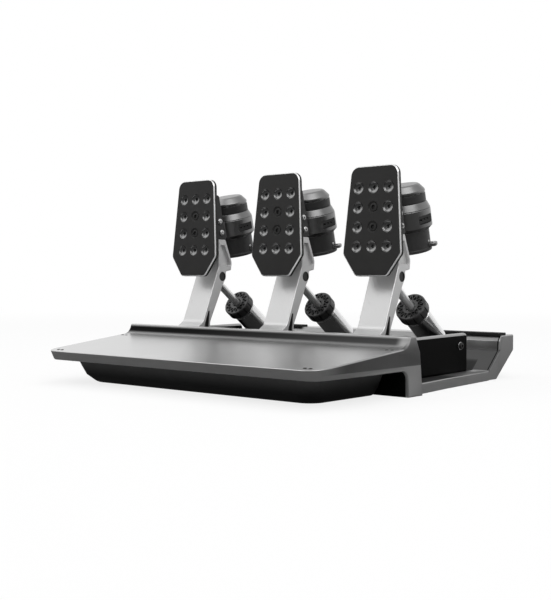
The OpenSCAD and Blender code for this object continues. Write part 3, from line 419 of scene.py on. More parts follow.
# Solids, added to a bmesh
def addLoft(bm, rings, finishOf=None, ends=True):
    loops = [[bm.verts.new(p) for p in ring] for ring in rings]
    count = len(loops[0])
    for level, (a, b) in enumerate(zip(loops, loops[1:])):
        for i in range(count):
            k = (i + 1) % count
            face = bm.faces.new((a[i], a[k], b[k], b[i]))
            face.material_index = (finishOf or {}).get(level, 0)
    if ends:
        bm.faces.new(loops[0][::-1])
        bm.faces.new(loops[-1])
    return loops


def addSlab(bm, outline, low, high, rim, at, steps=4):
    edge = rimSteps(rim, steps)
    levels = [(d, low + t) for d, t in edge] + [(d, high - t) for d, t in reversed(edge)]
    addLoft(bm, ringsAt(leftTurning(outline), levels, at))


def addBlock(bm, low, high, r, rim, at):
    corners = [(low[0], low[1], r), (high[0], low[1], r), (high[0], high[1], r), (low[0], high[1], r)]
    addSlab(bm, rounded(corners, 4), low[2], high[2], rim, at, 3)


def addLathe(bm, profile, at, segments=96, finish=0):
    turns = [2 * math.pi * k / segments for k in range(segments)]
    rings = []
    for r, t in profile:
        spots = [(r * math.cos(a), r * math.sin(a), t) for a in turns] if r > 1e-6 else [(0.0, 0.0, t)]
        rings.append([bm.verts.new(at @ Vector(spot)) for spot in spots])
    for a, b in zip(rings, rings[1:] + rings[:1]):
        for i in range(segments):
            k = (i + 1) % segments
            corners = list(dict.fromkeys([a[i % len(a)], a[k % len(a)], b[k % len(b)], b[i % len(b)]]))
            if len(corners) > 2:
                bm.faces.new(corners).material_index = finish


# Objects
def toObject(name, bm, finishNames):
    bmesh.ops.remove_doubles(bm, verts=bm.verts, dist=1e-7)
    bmesh.ops.recalc_face_normals(bm, faces=bm.faces)
    mesh = bpy.data.meshes.new(name)
    bm.to_mesh(mesh)
    bm.free()
    for finish in finishNames:
        mesh.materials.append(finishes[finish])
    return addToScene(name, mesh)


# One object from several solids: each call is an add function and what it takes
def formed(name, finishNames, *calls):
    bm = bmesh.new()
    for add, *given in calls:
        add(bm, *given)
    return toObject(name, bm, finishNames)


def addObject(bm, obj):
    bm.from_mesh(obj.data)
    bpy.data.objects.remove(obj)


def settle(obj):
    mesh = bpy.data.meshes.new_from_object(obj.evaluated_get(bpy.context.evaluated_depsgraph_get()))
    obj.modifiers.clear()
    obj.data = mesh


# Gives all faces, or those that pass a test, a finish number; a cutter's number shows in its cuts
def paint(obj, index, test=None):
    for face in obj.data.polygons:
        if not test or test(face):
            face.material_index = index
    return obj


def carve(obj, cutter, operation="DIFFERENCE"):
    step = obj.modifiers.new("carve", "BOOLEAN")
    step.operation = operation
    step.solver = "EXACT"
    step.object = cutter
    settle(obj)
    bpy.data.objects.remove(cutter)


# Smooth shading up to an angle, with flat faces kept flat beside round edges
def soften(obj, degrees=35):
    obj.data.shade_smooth()
    obj.data.set_sharp_from_angle(angle=math.radians(degrees))
    step = obj.modifiers.new("flats", "WEIGHTED_NORMAL")
    step.keep_sharp = True
    settle(obj)


def enlist(obj, nodes, body):
    if nodes:
        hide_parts(*nodes)
    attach(obj, body)


def dress(obj, nodes):
    soften(obj)
    enlist(obj, nodes, "base")


# One finished shape becomes the same piece of every pedal
def spread(shape, nodes, body):
    soften(shape)
    pieces = {}
    for p in pedals:
        mesh = shape.data.copy()
        mesh.transform(Matrix.Translation((pedalX[p] * mm, 0, 0)))
        pieces[p] = addToScene(p + shape.name[0].upper() + shape.name[1:], mesh)
        enlist(pieces[p], [p + "_" + n for n in nodes], p + "_" + body)
    bpy.data.objects.remove(shape)
    return pieces


# Geometry Nodes trees for what repeats
def startTree(name, inputs):
    tree = bpy.data.node_groups.new(name, "GeometryNodeTree")
    tree.interface.new_socket(name="Geometry", in_out="OUTPUT", socket_type="NodeSocketGeometry")
    for label, kind in {"Geometry": "Geometry", "Finish": "Material", **inputs}.items():
        tree.interface.new_socket(name=label, in_out="INPUT", socket_type="NodeSocket" + kind)
    bench = Wire(tree)
    return tree, bench, bench.node("NodeGroupInput")


def closeTree(bench, given, geometry):
    solid = bench.node("GeometryNodeRealizeInstances", {}, {"Geometry": geometry})
    done = bench.node("GeometryNodeSetMaterial", {}, {"Geometry": solid, "Material": given["Finish"]})
    bench.node("NodeGroupOutput", {}, {"Geometry": done})


def copies(bench, given, points, turn=None):
    shape = bench.node("GeometryNodeObjectInfo", {}, {"Object": given["Shape"]})["Geometry"]
    sockets = {"Points": points, "Instance": shape}
    if turn:
        sockets["Rotation"] = turn
    return bench.node("GeometryNodeInstanceOnPoints", {}, sockets)


def makeRoundTree():
    inputs = {"Shape": "Object", "Count": "Int", "Radius": "Float", "Turn": "Float"}
    tree, bench, given = startTree("repeatRound", inputs)
    spots = bench.node("GeometryNodeMeshCircle", {}, {"Vertices": given["Count"], "Radius": given["Radius"]})
    index = bench.node("GeometryNodeInputIndex")
    turn = bench.node("ShaderNodeCombineXYZ", {}, {"Z": index * given["Turn"]})
    closeTree(bench, given, copies(bench, given, spots, turn))
    return tree


def makeGridTree():
    inputs = {"Shape": "Object", "Columns": "Int", "Rows": "Int", "Width": "Float", "Height": "Float"}
    tree, bench, given = startTree("repeatGrid", inputs)
    spots = bench.node("GeometryNodeMeshGrid", {}, {
        "Size X": given["Width"], "Size Y": given["Height"], "Vertices X": given["Columns"],
        "Vertices Y": given["Rows"]})
    closeTree(bench, given, copies(bench, given, spots))
    return tree


def makeSpotTree():
    tree, bench, given = startTree("repeatSpots", {"Shape": "Object"})
    facing = bench.node("GeometryNodeInputNamedAttribute", {"data_type": "FLOAT_VECTOR"}, {"Name": "facing"})
    turn = bench.node("FunctionNodeAlignRotationToVector", {"axis": "Z"}, {"Vector": facing})
    closeTree(bench, given, copies(bench, given, given, turn))
    return tree


def makeCoilTree():
    inputs = {"Turns": "Float", "Radius": "Float", "Height": "Float", "Wire": "Float"}
    tree, bench, given = startTree("windCoil", inputs)
    way = bench.node("GeometryNodeCurveSpiral", {}, {
        "Resolution": 32, "Rotations": given["Turns"], "Start Radius": given["Radius"],
        "End Radius": given["Radius"], "Height": given["Height"]})
    wire = bench.node("GeometryNodeCurvePrimitiveCircle", {}, {"Resolution": 12, "Radius": given["Wire"]})
    tube = bench.node("GeometryNodeCurveToMesh", {}, {"Curve": way, "Profile Curve": wire, "Fill Caps": True})
    closeTree(bench, given, tube)
    return tree


trees = {"round": makeRoundTree(), "grid": makeGridTree(), "spots": makeSpotTree(), "coil": makeCoilTree()}


def grow(name, tree, shape, finish, values=None, spots=None):
    mesh = bpy.data.meshes.new(name)
    if spots:
        mesh.from_pydata([at for at, facing in spots], [], [])
        facings = mesh.attributes.new("facing", "FLOAT_VECTOR", "POINT")
        for i, (at, facing) in enumerate(spots):
            facings.data[i].vector = facing
    made = addToScene(name, mesh)
    step = made.modifiers.new("grow", "NODES")
    step.node_group = trees[tree]
    keys = {i.name: i.identifier for i in trees[tree].interface.items_tree if i.in_out == "INPUT"}
    given = {"Finish": finishes[finish], **(values or {})}
    if shape:
        given["Shape"] = shape
    for label, value in given.items():
        step[keys[label]] = value
    settle(made)
    if shape:
        bpy.data.objects.remove(shape)
    return made


# Screw heads with a six-sided socket, their seats at the spots
def growScrews(name, head, finish, spots):
    r, h, edge, socketR, socketD, dome = head
    top = h + dome
    side = rounded([(0, -0.6, 0), (r, -0.6, 0), (r, h, edge), (0, top, 0)], 4)
    screw = formed("screwHead", [], (addLathe, side, ownFrame, 32))
    socket = (addSlab, disc((0, 0), socketR, 6), top - socketD, top + 1, 0, ownFrame)
    carve(screw, formed("socketCut", [], socket))
    screw.data.transform(Matrix.Scale(mm, 4))
    return grow(name, "spots", screw, finish, None, spots)


print("tools ready")

# Base: deck, rail with its columns, floor and rear rail, one casting from four shells
casting = {"frontHeight": 35.0, "frontHalf": 181.7, "corner": 18.5, "deckEnd": -46.0, "columnBack": -18.0,
           "strip": ((2.0, -38.0), (1.8, -16.0), (1.0, 10.0), (-0.4, 45.0), (-0.4, 141.0)), "draft": 4.0,
           "draftFrom": -95.0, "draftOver": 55.0, "bends": (-130.0, -115.0, -100.0, -85.0, -65.0),
           "rim": 1.4, "foot": 0.8, "crease": 29.7, "rimDrop": 1.8, "creaseIn": 1.75, "undercut": 0.14,
           "upFace": 1.35, "columnWidth": 18.0, "tuck": 0.05, "boltR": 3.3, "boltSink": 1.2, "boltIn": 15.0,
           "boltY": 132.0, "midBolt": (62.0, 40.0),
           "column": ((-18.0, 0.0), (-18.4, 14.0), (-19.8, 32.4), (-28.9, 55.0)),
           "wall": ((-36.0, 0.0), (-36.0, 20.0), (-36.0, 46.5), (-29.5, 50.5)), "tongue": (-58.0, 29.5),
           "archFrom": -50.05, "archR": 8.9, "backR": 1.2, "ridge": (-38.4, 2.0), "cove": (-43.0, 12.0),
           "lip": ((-51.0, -0.05), (-51.4, 0.5), (-58.0, 1.0)), "endReach": 4.0, "endFaces": (-57.0, -21.8),
           "rearIn": 137.5, "rearFoot": 160.0, "rearKnee": 30.0, "rearTop": 172.0, "slantFoot": 140.0,
           "slant": ((167.0, 42.0, 1.2), (166.0, 31.0, 4.0))}
front, rimLow, rear = deckLow[1], deckLow[2] - casting["rimDrop"], rearHigh[1]
outerHalf, rearHalf = panHigh[0], rearHigh[0]
deckRise = (deckHigh[2] - casting["frontHeight"]) / (deckHigh[1] - front)


# Half the flared front's width at a distance behind the pedal faces
def halfAt(y):
    share = (y - front) / (casting["columnBack"] - front)
    return casting["frontHalf"] + (outerHalf - casting["frontHalf"]) * share


def deckAt(y):
    return casting["frontHeight"] + (y - front) * deckRise


# How far the base's end faces lie in from their widest, with a crease at one height
def endLean(s, z):
    if z > s["crease"]:
        return max(0.0, s["creaseIn"] - (z - s["crease"]) * s["undercut"])
    return s["creaseIn"] - s["upFace"] * (s["crease"] - z) / s["crease"]


def addDeck(bm, s):
    sides = [(halfAt(y), y, 0) for y in (*s["bends"], s["deckEnd"])]
    outline = rounded([(-s["frontHalf"], front, s["corner"]), (s["frontHalf"], front, s["corner"])] + sides
                      + [(-x, y, r) for x, y, r in reversed(sides)], 10)
    levels = [(d, None, t) for d, t in rimSteps(s["rim"], 4)]
    levels += [(0.0, s["crease"], 0.0), (0.0, rimLow + s["foot"], 0.0), (s["foot"], rimLow, 0.0)]
    rings = []
    for d, level, fall in levels:
        heights = [deckAt(p.y) - fall if level is None else level for p in outline]
        depths = []
        for p, z in zip(outline, heights):
            ahead = max(0.0, min(1.0, (s["draftFrom"] - p.y) / s["draftOver"]))
            drafted = s["draft"] * max(0.0, deckAt(p.y) - z) / (deckAt(p.y) - rimLow)
            depths.append(d + ahead * drafted + (1 - ahead) * endLean(s, z))
        rings.append([Vector((p.x, p.y, z)) * mm for p, z in zip(inset(outline, depths), heights)])
    addLoft(bm, rings)


def railOutline(s, behind):
    arch, back, top = panLow[1], railHigh[1], railHigh[2]
    (ridgeY, ridgeR), (coveY, coveR) = s["ridge"], s["cove"]
    under = [(*s["tongue"], 0), (s["archFrom"], rimLow, 0), (arch, rimLow, s["archR"]),
             (arch, 0.0, s["foot"])]
    over = [(back, top, s["backR"]), (ridgeY, top, ridgeR), (coveY, deckHigh[2], coveR)]
    lip = [(y, deckAt(y) - sunk, 0) for y, sunk in s["lip"]]
    return rounded(under + [(*p, 0) for p in s[behind]] + over + lip, 8)


def addRail(bm, s):
    inner, reach = outerHalf - s["columnWidth"], s["endReach"]
    rings = []
    for side in (1, -1):
        ends = []
        for d, t in rimSteps(s["rim"], 3):
            points = inset(railOutline(s, "column"), d)
            out = [side * (halfAt(p.x) - s["tuck"] - t - endLean(s, p.y)) for p in points]
            ends.append([Vector((x, p.x, p.y)) * mm for x, p in zip(out, points)])
        for behind in ("column", "wall"):
            ends.append([Vector((side * inner, p.x, p.y)) * mm for p in railOutline(s, behind)])
        rings += ends[::side]
    loops = addLoft(bm, rings, None, False)
    flat = [Vector((p.x, p.y, 0)) for p in railOutline(s, "column")]
    for loop in (loops[0], loops[-1]):
        for three in tessellate_polygon([flat]):
            bm.faces.new([loop[i] for i in three])
    for z in (s["crease"], s["crease"] + s["creaseIn"] / s["undercut"]):
        caps = [f for f in bm.faces if all(abs(v.co.x) > (halfAt(v.co.y / mm) - reach) * mm for v in f.verts)]
        parts = list({e for f in caps for e in f.edges}) + list({v for f in caps for v in f.verts}) + caps
        bmesh.ops.bisect_plane(bm, geom=parts, plane_co=(0, 0, z * mm), plane_no=(0, 0, 1))
        for v in bm.verts:
            x, y, h = v.co / mm
            onEnd = s["endFaces"][0] < y < s["endFaces"][1] and abs(x) > halfAt(y) - reach
            if abs(h - z) < 0.01 and onEnd:
                v.co.x = math.copysign((halfAt(y) - s["tuck"] - endLean(s, z)) * mm, x)


def addRear(bm, s):
    top, inner = rearHigh[2], s["rearIn"]
    outline = rounded([
        (inner, 0.5, 0), (s["rearFoot"], 0.0, 0.8), (rear, s["rearKnee"], 3.0), (rear, top, 1.6),
        (s["rearTop"], top, 0.8), *s["slant"], (s["slantFoot"], floorTop - 0.02, 3.0),
        (inner, floorTop - 0.5, 0)], 5)
    half = rearHalf - s["tuck"] - s["creaseIn"] + s["upFace"]
    addSlab(bm, outline, -half, half, s["rim"], sideFrame)


def makeCasting(s):
    right = [Vector((x + rearHalf, y)) for x, y in s["strip"]]
    outline = right + [Vector((-p.x, p.y)) for p in reversed(right)]
    floor = formed("floor", ["castGrey"], (addSlab, outline, 0.02, floorTop, 0.8, planFrame, 3))
    r, wide, above = s["boltR"], s["boltR"] + s["boltSink"], floorTop + 1
    bore = [(0, -1), (r, -1), (r, floorTop - s["boltSink"]), (wide, floorTop), (wide, above), (0, above)]
    bolts = ((rearHalf - s["boltIn"], s["boltY"]), s["midBolt"])
    bores = [(addLathe, bore, planFrame @ Matrix.Translation((side * x, y, 0)), 40)
             for x, y in bolts for side in (1, -1)]
    carve(floor, formed("floorBores", [], *bores))
    body = formed("baseCasting", ["castGrey"], (addRail, s), (addDeck, s), (addRear, s), (addObject, floor))
    dress(body, ["heel_deck", "front_rail", "end_columns", "floor_pan", "rear_rail"])


makeCasting(casting)

# Small screws in pairs near the deck's corners. A head: radius, height, edge, socket radius and depth, dome
deckScrews = {"head": (1.8, 0.25, 0.2, 1.0, 0.7, 0.15), "rows": (9.0, 9.0), "in": (17.0, 9.5), "gap": 6.0}


def makeDeckScrews(s):
    slope = math.atan(deckRise)
    spots = []
    for y, back in zip((front + s["rows"][0], deckHigh[1] - s["rows"][1]), s["in"]):
        for x in (-1, 1):
            for k in (-0.5, 0.5):
                at = (x * (halfAt(y) - back) + k * s["gap"], y, deckAt(y))
                spots.append((Vector(at) * mm, (0, -math.sin(slope), math.cos(slope))))
    dress(growScrews("deckScrews", s["head"], "blackOxide", spots), ["deck_screws"])


makeDeckScrews(deckScrews)

# Black tray under the deck: height, distance in from the ends and from the front edge
tray = {"levels": ((0.0, 35.5, 38.0), (9.0, 29.5, 27.0), (18.0, 25.8, 23.3), (27.0, 22.5, 20.0)),
        "back": -43.0, "r": 18.0, "backR": 7.0, "edge": 2.5, "rings": (6.0, 9.0, 12.0, 18.0), "gap": 0.05}


def trayRing(s, d, z):
    for a, b in zip(s["levels"], s["levels"][1:]):
        if z <= b[0]:
            share = (z - a[0]) / (b[0] - a[0])
            sideIn, frontIn = a[1] + (b[1] - a[1]) * share + d, a[2] + (b[2] - a[2]) * share + d
            break
    near, far, r, backR = front + frontIn, s["back"] - d, s["r"] - d, s["backR"] - d
    corners = [(-halfAt(near) + sideIn, near, r), (halfAt(near) - sideIn, near, r),
               (halfAt(far) - sideIn, far, backR), (sideIn - halfAt(far), far, backR)]
    return [planFrame @ Vector((p.x, p.y, z)) for p in rounded(corners, 8)]


def makeTray(s):
    rings = [trayRing(s, d, t) for d, t in rimSteps(s["edge"], 4)]
    rings += [trayRing(s, 0.0, z) for z in (*s["rings"], rimLow - s["gap"])]
    dress(formed("underTray", ["trayBlack"], (addLoft, rings)), ["under_tray"])


makeTray(tray)

# Black strips on the rear rail's ends
trim = {"low": 47.5, "rim": 0.7, "length": 89.0, "corner": 0.8}


def makeTrim(s):
    low, high = boxOf("rear_trim")
    outline = rounded([(low[1], s["low"], 0), (high[1], s["low"], 0), (high[1], high[2], s["corner"]),
                       (low[1], high[2], s["corner"])], 4)
    ends = ((low[0], low[0] + s["length"]), (high[0] - s["length"], high[0]))
    strips = [(addSlab, outline, *end, s["rim"], sideFrame) for end in ends]
    dress(formed("rearTrim", ["trimRubber"], *strips), ["rear_trim"])


makeTrim(trim)

# Inner side walls, with a painted highlight along their top edges
walls = {"t": 6.0, "front": -12.0, "back": 128.0, "corner": 5.0, "rim": 2.6, "footW": 8.0, "footT": 3.0,
         "foot": (14.0, 118.0), "edge": 3.6}


def makeWalls(s):
    high = boxOf("side_walls")[1]
    outer, inner, top = high[0], high[0] - s["t"], high[2]
    outline = rounded([(s["front"], floorTop, 0), (s["back"], floorTop, 0), (s["back"], top, s["corner"]),
                       (s["front"], top, s["corner"])], 8)
    solids = []
    for side in (-1, 1):
        solids.append((addSlab, outline, *span(side, outer, inner), s["rim"], sideFrame))
        near, far = span(side, inner + 1, inner - s["footW"])
        solids.append((addBlock, (near, s["foot"][0], floorTop), (far, s["foot"][1], floorTop + s["footT"]),
                       1.5, 0.6, planFrame))
    body = formed("sideWalls", ["wallPaint", "wallEdge"], *solids)
    # Painted highlight: faces near the top edge take the lighter edge finish
    paint(body, 1, lambda face: face.center.z / mm > top - s["edge"])
    dress(body, ["side_walls"])


makeWalls(walls)

# Bolt on the right wall, with a washer
wallBolt = {"y": 111.0, "z": 39.0, "head": (3.6, 2.2, 0.8, 1.84, 1.4, 0.0), "washerR": 4.5, "washer": 0.8}


def makeWallBolt(s):
    outer, r, t = boxOf("side_walls")[1][0], s["washerR"], s["washer"]
    spots = [(Vector((outer + t, s["y"], s["z"])) * mm, (1, 0, 0))]
    bolt = growScrews("wallBolt", s["head"], "blackOxide", spots)
    ring = rounded([(0.5, -0.3, 0), (r, -0.3, 0), (r, t, 0.3), (0.5, t, 0)], 3)
    at = sideFrame @ Matrix.Translation((s["y"], s["z"], outer))
    body = formed("wallBolt", ["blackOxide", "brightSteel"], (addObject, bolt), (addLathe, ring, at, 48, 1))
    dress(body, ["wall_bolt"])


makeWallBolt(wallBolt)
print("base shell done")

# Control box inside the right wall: lid, vents and its data socket
box = {"corner": 2.5, "rim": 1.2, "lid": 2.0, "lidGap": 0.2, "lidIn": 0.8, "coreIn": 2.0, "vents": 6,
       "ventW": 1.4, "ventL": 14.0, "ventGap": 3.4, "ventUp": 2.0, "socket": (8.0, 4.0),
       "tongue": (5.2, 1.0), "socketUp": 10.0}


def makeBox(s):
    (x0, y0, z0), (x1, y1, z1) = boxOf("control_box")
    deep = x1 - x0
    solids = []
    for d, near, far, rim in ((0.0, s["lid"] + s["lidGap"], deep, s["rim"]), (s["lidIn"], 0.0, s["lid"], 0.6),
                              (s["coreIn"], 1.0, deep - 1, 0.6)):
        low, high = (y0 + d, z0 + d, x0 + near), (y1 - d, z1 - d, x0 + far)
        solids.append((addBlock, low, high, s["corner"], rim, sideFrame))
    body = formed("controlBox", ["boxPlastic"], *solids)
    wide, tall = s["ventW"] / 2, s["ventL"] / 2
    slot = formed("ventCut", [], (addBlock, (-wide, -tall, -1), (wide, tall, 1), 0.6, 0, ownFrame))
    vents = grow("vents", "grid", slot, "boxPlastic", {
        "Columns": s["vents"], "Rows": 1, "Width": s["ventGap"] * (s["vents"] - 1), "Height": 0.0})
    vents.data.transform(sideFrame @ Matrix.Translation(((y0 + y1) / 2, (z0 + z1) / 2 + s["ventUp"], x0)))
    carve(body, vents)
    backFrame = frameAt((0, 0, 0), (1, 0, 0), (0, 0, 1)) @ Matrix.Scale(-1, 4, (0, 0, 1))
    mid = Vector(((x0 + x1) / 2, z0 + s["socketUp"]))

    def plug(size, low, high, r, rim):
        half = Vector(size) / 2
        return addBlock, (*(mid - half), y1 + low), (*(mid + half), y1 + high), r, rim, backFrame

    carve(body, formed("socketCut", [], plug(s["socket"], -6, 2, 1.6, 0)))
    body = formed("controlBox", ["boxPlastic"], (addObject, body), plug(s["tongue"], -6.5, -1, 0.3, 0.1))
    dress(body, ["control_box"])


makeBox(box)

# Cheeks that carry the pivot shafts, with bolted feet
cheeks = {"gap": 17.3, "t": 6.0, "r": 13.0, "spread": 3.0, "bore": 7.05, "footW": 9.0, "footT": 5.0,
          "boltY": 9.4, "boltOut": 0.5, "head": (2.4, 1.6, 0.4, 1.3, 1.0, 0.0)}
cheekOut = cheeks["gap"] + cheeks["t"]


def makeCheeks(s):
    r, wide, footTop = s["r"], s["r"] + s["spread"], floorTop + s["footT"]
    outline = [Vector((pivotY - wide, floorTop)), Vector((pivotY + wide, floorTop))]
    outline += arc((pivotY, pivotZ), r, 0, 180, 24)
    solids, cuts, spots = [], [], []
    for x, side in bothSides:
        low, high = span(side, s["gap"], cheekOut, x)
        solids.append((addSlab, outline, low, high, 0.8, sideFrame))
        cuts.append((addSlab, disc((pivotY, pivotZ), s["bore"], 48), low - 1, high + 1, 0, sideFrame))
        low, high = span(side, cheekOut - 1, cheekOut + s["footW"], x)
        solids.append((addBlock, (low, pivotY - r, floorTop), (high, pivotY + r, footTop), 1.5, 0.6,
                       planFrame))
        boltX = x + side * (cheekOut + s["footW"] / 2 + s["boltOut"])
        spots += [(Vector((boltX, pivotY + k * s["boltY"], footTop)) * mm, (0, 0, 1)) for k in (-1, 1)]
    body = formed("pivotCheeks", ["wallPaint"], *solids)
    carve(body, formed("bores", [], *cuts))
    dress(body, ["pivot_cheeks"])
    dress(growScrews("cheekBolts", s["head"], "blackOxide", spots), [])


makeCheeks(cheeks)

# Position sensors beside the right cheeks; the lids come after the pockets are carved
sensors = {"side": 26.0, "t": 10.0, "lid": 1.2, "lidIn": 0.6, "lidSink": 0.5, "corner": 3.0, "rim": 0.5,
           "pocketR": 9.6, "pocketD": 3.7, "footRoom": 6.0, "screwIn": 3.2,
           "head": (1.3, 0.5, 0.2, 0.7, 0.4, 0.0)}


def makeSensors(s):
    half, low, d, e = s["side"] / 2, floorTop + s["footRoom"], s["lidIn"], s["screwIn"]
    left, right, top = pivotY - half, pivotY + half, pivotZ + half
    pocket = disc((pivotY, pivotZ), s["pocketR"], 48)
    blocks, cuts, lids, spots = [], [], [], []
    for x in pedalX.values():
        a, b = x + cheekOut, x + cheekOut + s["t"]
        seat, edge = b - s["lid"], (s["corner"], s["rim"], sideFrame)
        blocks.append((addBlock, (left, low, a), (right, top, seat), *edge))
        lids.append((addBlock, (left + d, low + d, seat - s["lidSink"]), (right - d, top - d, b), *edge))
        cuts.append((addSlab, pocket, a - 1, a + s["pocketD"], 0, sideFrame))
        corners = [(y, z) for y in (left + e, right - e) for z in (low + e, top - e)]
        spots += [(Vector((b, y, z)) * mm, (1, 0, 0)) for y, z in corners]
    body = formed("positionSensors", ["boxPlastic"], *blocks)
    carve(body, formed("pockets", [], *cuts))
    body = formed("positionSensors", ["boxPlastic"], *lids, (addObject, body))
    dress(body, ["position_sensors"])
    dress(growScrews("sensorScrews", s["head"], "brightSteel", spots), [])


makeSensors(sensors)

# Clevises for the struts' lower eyes
clevises = {"inner": 6.5, "t": 5.0, "r": 9.5, "foot": 4.0, "reach": 132.0, "rear": 139.5, "rim": 0.8}
lowEye = Vector((pinY, pinZ)) + strutWay * clevises["reach"]


def makeClevises(s):
    outline = [Vector((lowEye.x - s["r"] - s["foot"], floorTop)), Vector((s["rear"], floorTop))]
    outline += arc(lowEye, s["r"], 0, 180, 24)
    ears = [(addSlab, outline, *span(side, s["inner"], s["inner"] + s["t"], x), s["rim"], sideFrame)
            for x, side in bothSides]
    dress(formed("strutClevises", ["wallPaint"], *ears), ["strut_clevises"])


makeClevises(clevises)
print("base inside done")

# Pedal plate: bare-metal chamfer brightened as a painted highlight, rows of cups with a hole in each
plate = {"height": 174.8, "lean": 3.4, "t": 5.0, "up": 52.5, "down": 60.5, "topW": 56.0, "wide": 70.5,
         "footW": 38.0, "taper": 23.0, "corner": 10.0, "sideR": 7.0, "footR": 6.0, "chamfer": 1.1,
         "backEdge": 0.5, "cupR": 5.8, "cupD": 2.3, "lip": 0.25, "hole": 2.3, "skin": 0.6, "colGap": 18.0,
         "rowGap": 20.0, "sink": 0.9, "head": (4.4, 2.8, 0.7, 2.6, 1.7, 0.0)}
lean = math.radians(plate["lean"])
plateFrame = frameAt((0, 0, plate["height"]), (1, 0, 0), (0, math.sin(lean), math.cos(lean)))


def plateBack(h):
    return (h - plate["height"]) * math.tan(lean) + plate["t"] / math.cos(lean)


def cupProfile(s):
    r, d, h, lip, out = s["cupR"], s["cupD"], s["hole"], s["lip"], s["skin"]
    turns = [k * math.pi / 16 for k in range(1, 7)]
    bowl = [(r * math.cos(a), -lip - (d - lip) * math.sin(a)) for a in turns]
    mouth = [(0, out), (r + 0.35, out), (r + 0.35, 0.02), (r, -lip)]
    return mouth + bowl + [(h + 0.3, -d), (h, -d - 0.3), (h, out - s["t"]), (0, out - s["t"])]


def makePlate(s):
    low, c, t, e = s["taper"] - s["down"], s["chamfer"], s["t"], s["backEdge"]
    right = [(s["footW"] / 2, -s["down"], s["footR"]), (s["wide"] / 2, low, s["sideR"]),
             (s["topW"] / 2, s["up"], s["corner"])]
    left = [(-x, y, r) for x, y, r in reversed(right)]
    outline = leftTurning(rounded(left[-1:] + right + left[:-1], 10))
    rings = ringsAt(outline, [(c, 0.0), (0.0, -c), (0.0, e - t), (e, -t)], plateFrame)
    # The front chamfer ring takes the edge finish: bare metal, brightened as a painted highlight
    body = formed("plate", ["plateBlack", "cutEdge", "cupSatin"], (addLoft, rings, {0: 1}))
    cup = formed("cup", [], (addLathe, cupProfile(s), ownFrame, 40))
    cups = grow("cups", "grid", cup, "plateBlack", {
        "Columns": 3, "Rows": 4, "Width": 2 * s["colGap"], "Height": 3 * s["rowGap"]})
    cups.data.transform(plateFrame)
    toPlate = plateFrame.inverted()

    def roundScrew(face):
        spot = toPlate @ face.center
        return abs(spot.x) < s["colGap"] / 2 and abs(spot.y) < s["rowGap"]

    paint(cups, 2)
    carve(body, paint(cups, 0, roundScrew))
    spread(body, ["plate"], "pedal")
    out = plateFrame.col[2].to_3d().normalized()
    seat = -s["sink"] - s["head"][1]
    spots = [(plateFrame @ Vector((0, k * s["rowGap"] / 2, seat)), out) for k in (-1, 1)]
    screws = growScrews("plateScrews", s["head"], "blackOxide", spots)
    spread(screws, ["plate_screws"], "pedal")


makePlate(plate)

# Bracket behind the plate and its bolts
reactor = {"y": 63.5, "z": 184.0, "lean": 14.5, "out": 30.8}
tilt = math.radians(reactor["lean"])
bracket = {"wide": 33.0, "low": 138.0, "high": 210.0, "seat": 158.0, "front": 24.0, "rim": 0.9,
           "boltIn": 7.5, "bolts": (166.0, 179.0), "head": (3.6, 2.0, 1.3, 1.7, 1.2, 0.3), "holeR": 1.7,
           "holeAt": (9.0, 6.0), "holeD": 4.0}


def bracketRear(h):
    return reactor["y"] - reactor["out"] / math.cos(tilt) - (h - reactor["z"]) * math.tan(tilt)


def makeBracket(s):
    half, low, high, seat = s["wide"] / 2, s["low"], s["high"], s["seat"]
    outline = rounded([
        (plateBack(low), low, 1.0), (s["front"], low, 2.5), (s["front"], seat, 0),
        (bracketRear(seat), seat, 1.5), (bracketRear(high), high, 3.0), (plateBack(high), high, 1.5)])
    body = formed("bracket", ["bracketBlack"], (addSlab, outline, -half, half, s["rim"], sideFrame))
    r, d = s["holeR"], s["holeD"]
    holes, spots = [], []
    for side in (-1, 1):
        at = Matrix.Translation((s["front"] - s["holeAt"][0], seat - s["holeAt"][1], side * half))
        holes.append((addLathe, [(0, -d), (r, -d), (r, d), (0, d)], sideFrame @ at, 24))
        spots += [(sideFrame @ Vector((bracketRear(h) - s["boltIn"], h, side * half)), (side, 0, 0))
                  for h in s["bolts"]]
    carve(body, formed("holes", [], *holes))
    spread(body, ["bracket"], "pedal")
    bolts = growScrews("bracketBolts", s["head"], "brightSteel", spots)
    spread(bolts, ["bracket_bolts"], "pedal")


makeBracket(bracket)

# Arm: hub and toe at the pivot, leaning beam, head under the bracket; pockets are depth and finish number,
# the foot pocket's darker grey being painted shade
arm = {"wide": 33.0, "rim": 1.1, "hub": 15.0, "headLow": 120.0, "headTop": 12.5, "headDeep": 24.0,
       "bulge": 11.0, "footIn": 0.5, "footUp": 28.0, "footDeep": 12.5, "toe": 11.0, "frameW": 3.5,
       "apex": 6.0, "slot": 6.5, "headPocket": (3.2, 0), "footPocket": (4.5, 3), "pocketFlare": 0.5,
       "shaftR": 5.0, "pinR": 4.0, "seatR": 5.2, "seatD": 3.0, "seatFlare": 0.3, "eyeR": 7.0, "rodR": 5.0,
       "boss": 7.0, "swing": (-2.0, 18.0), "bright": (0.3, 0.97)}
footY, footZ = pivotY + arm["footIn"], pivotZ + arm["footUp"]
armHalf = arm["wide"] / 2


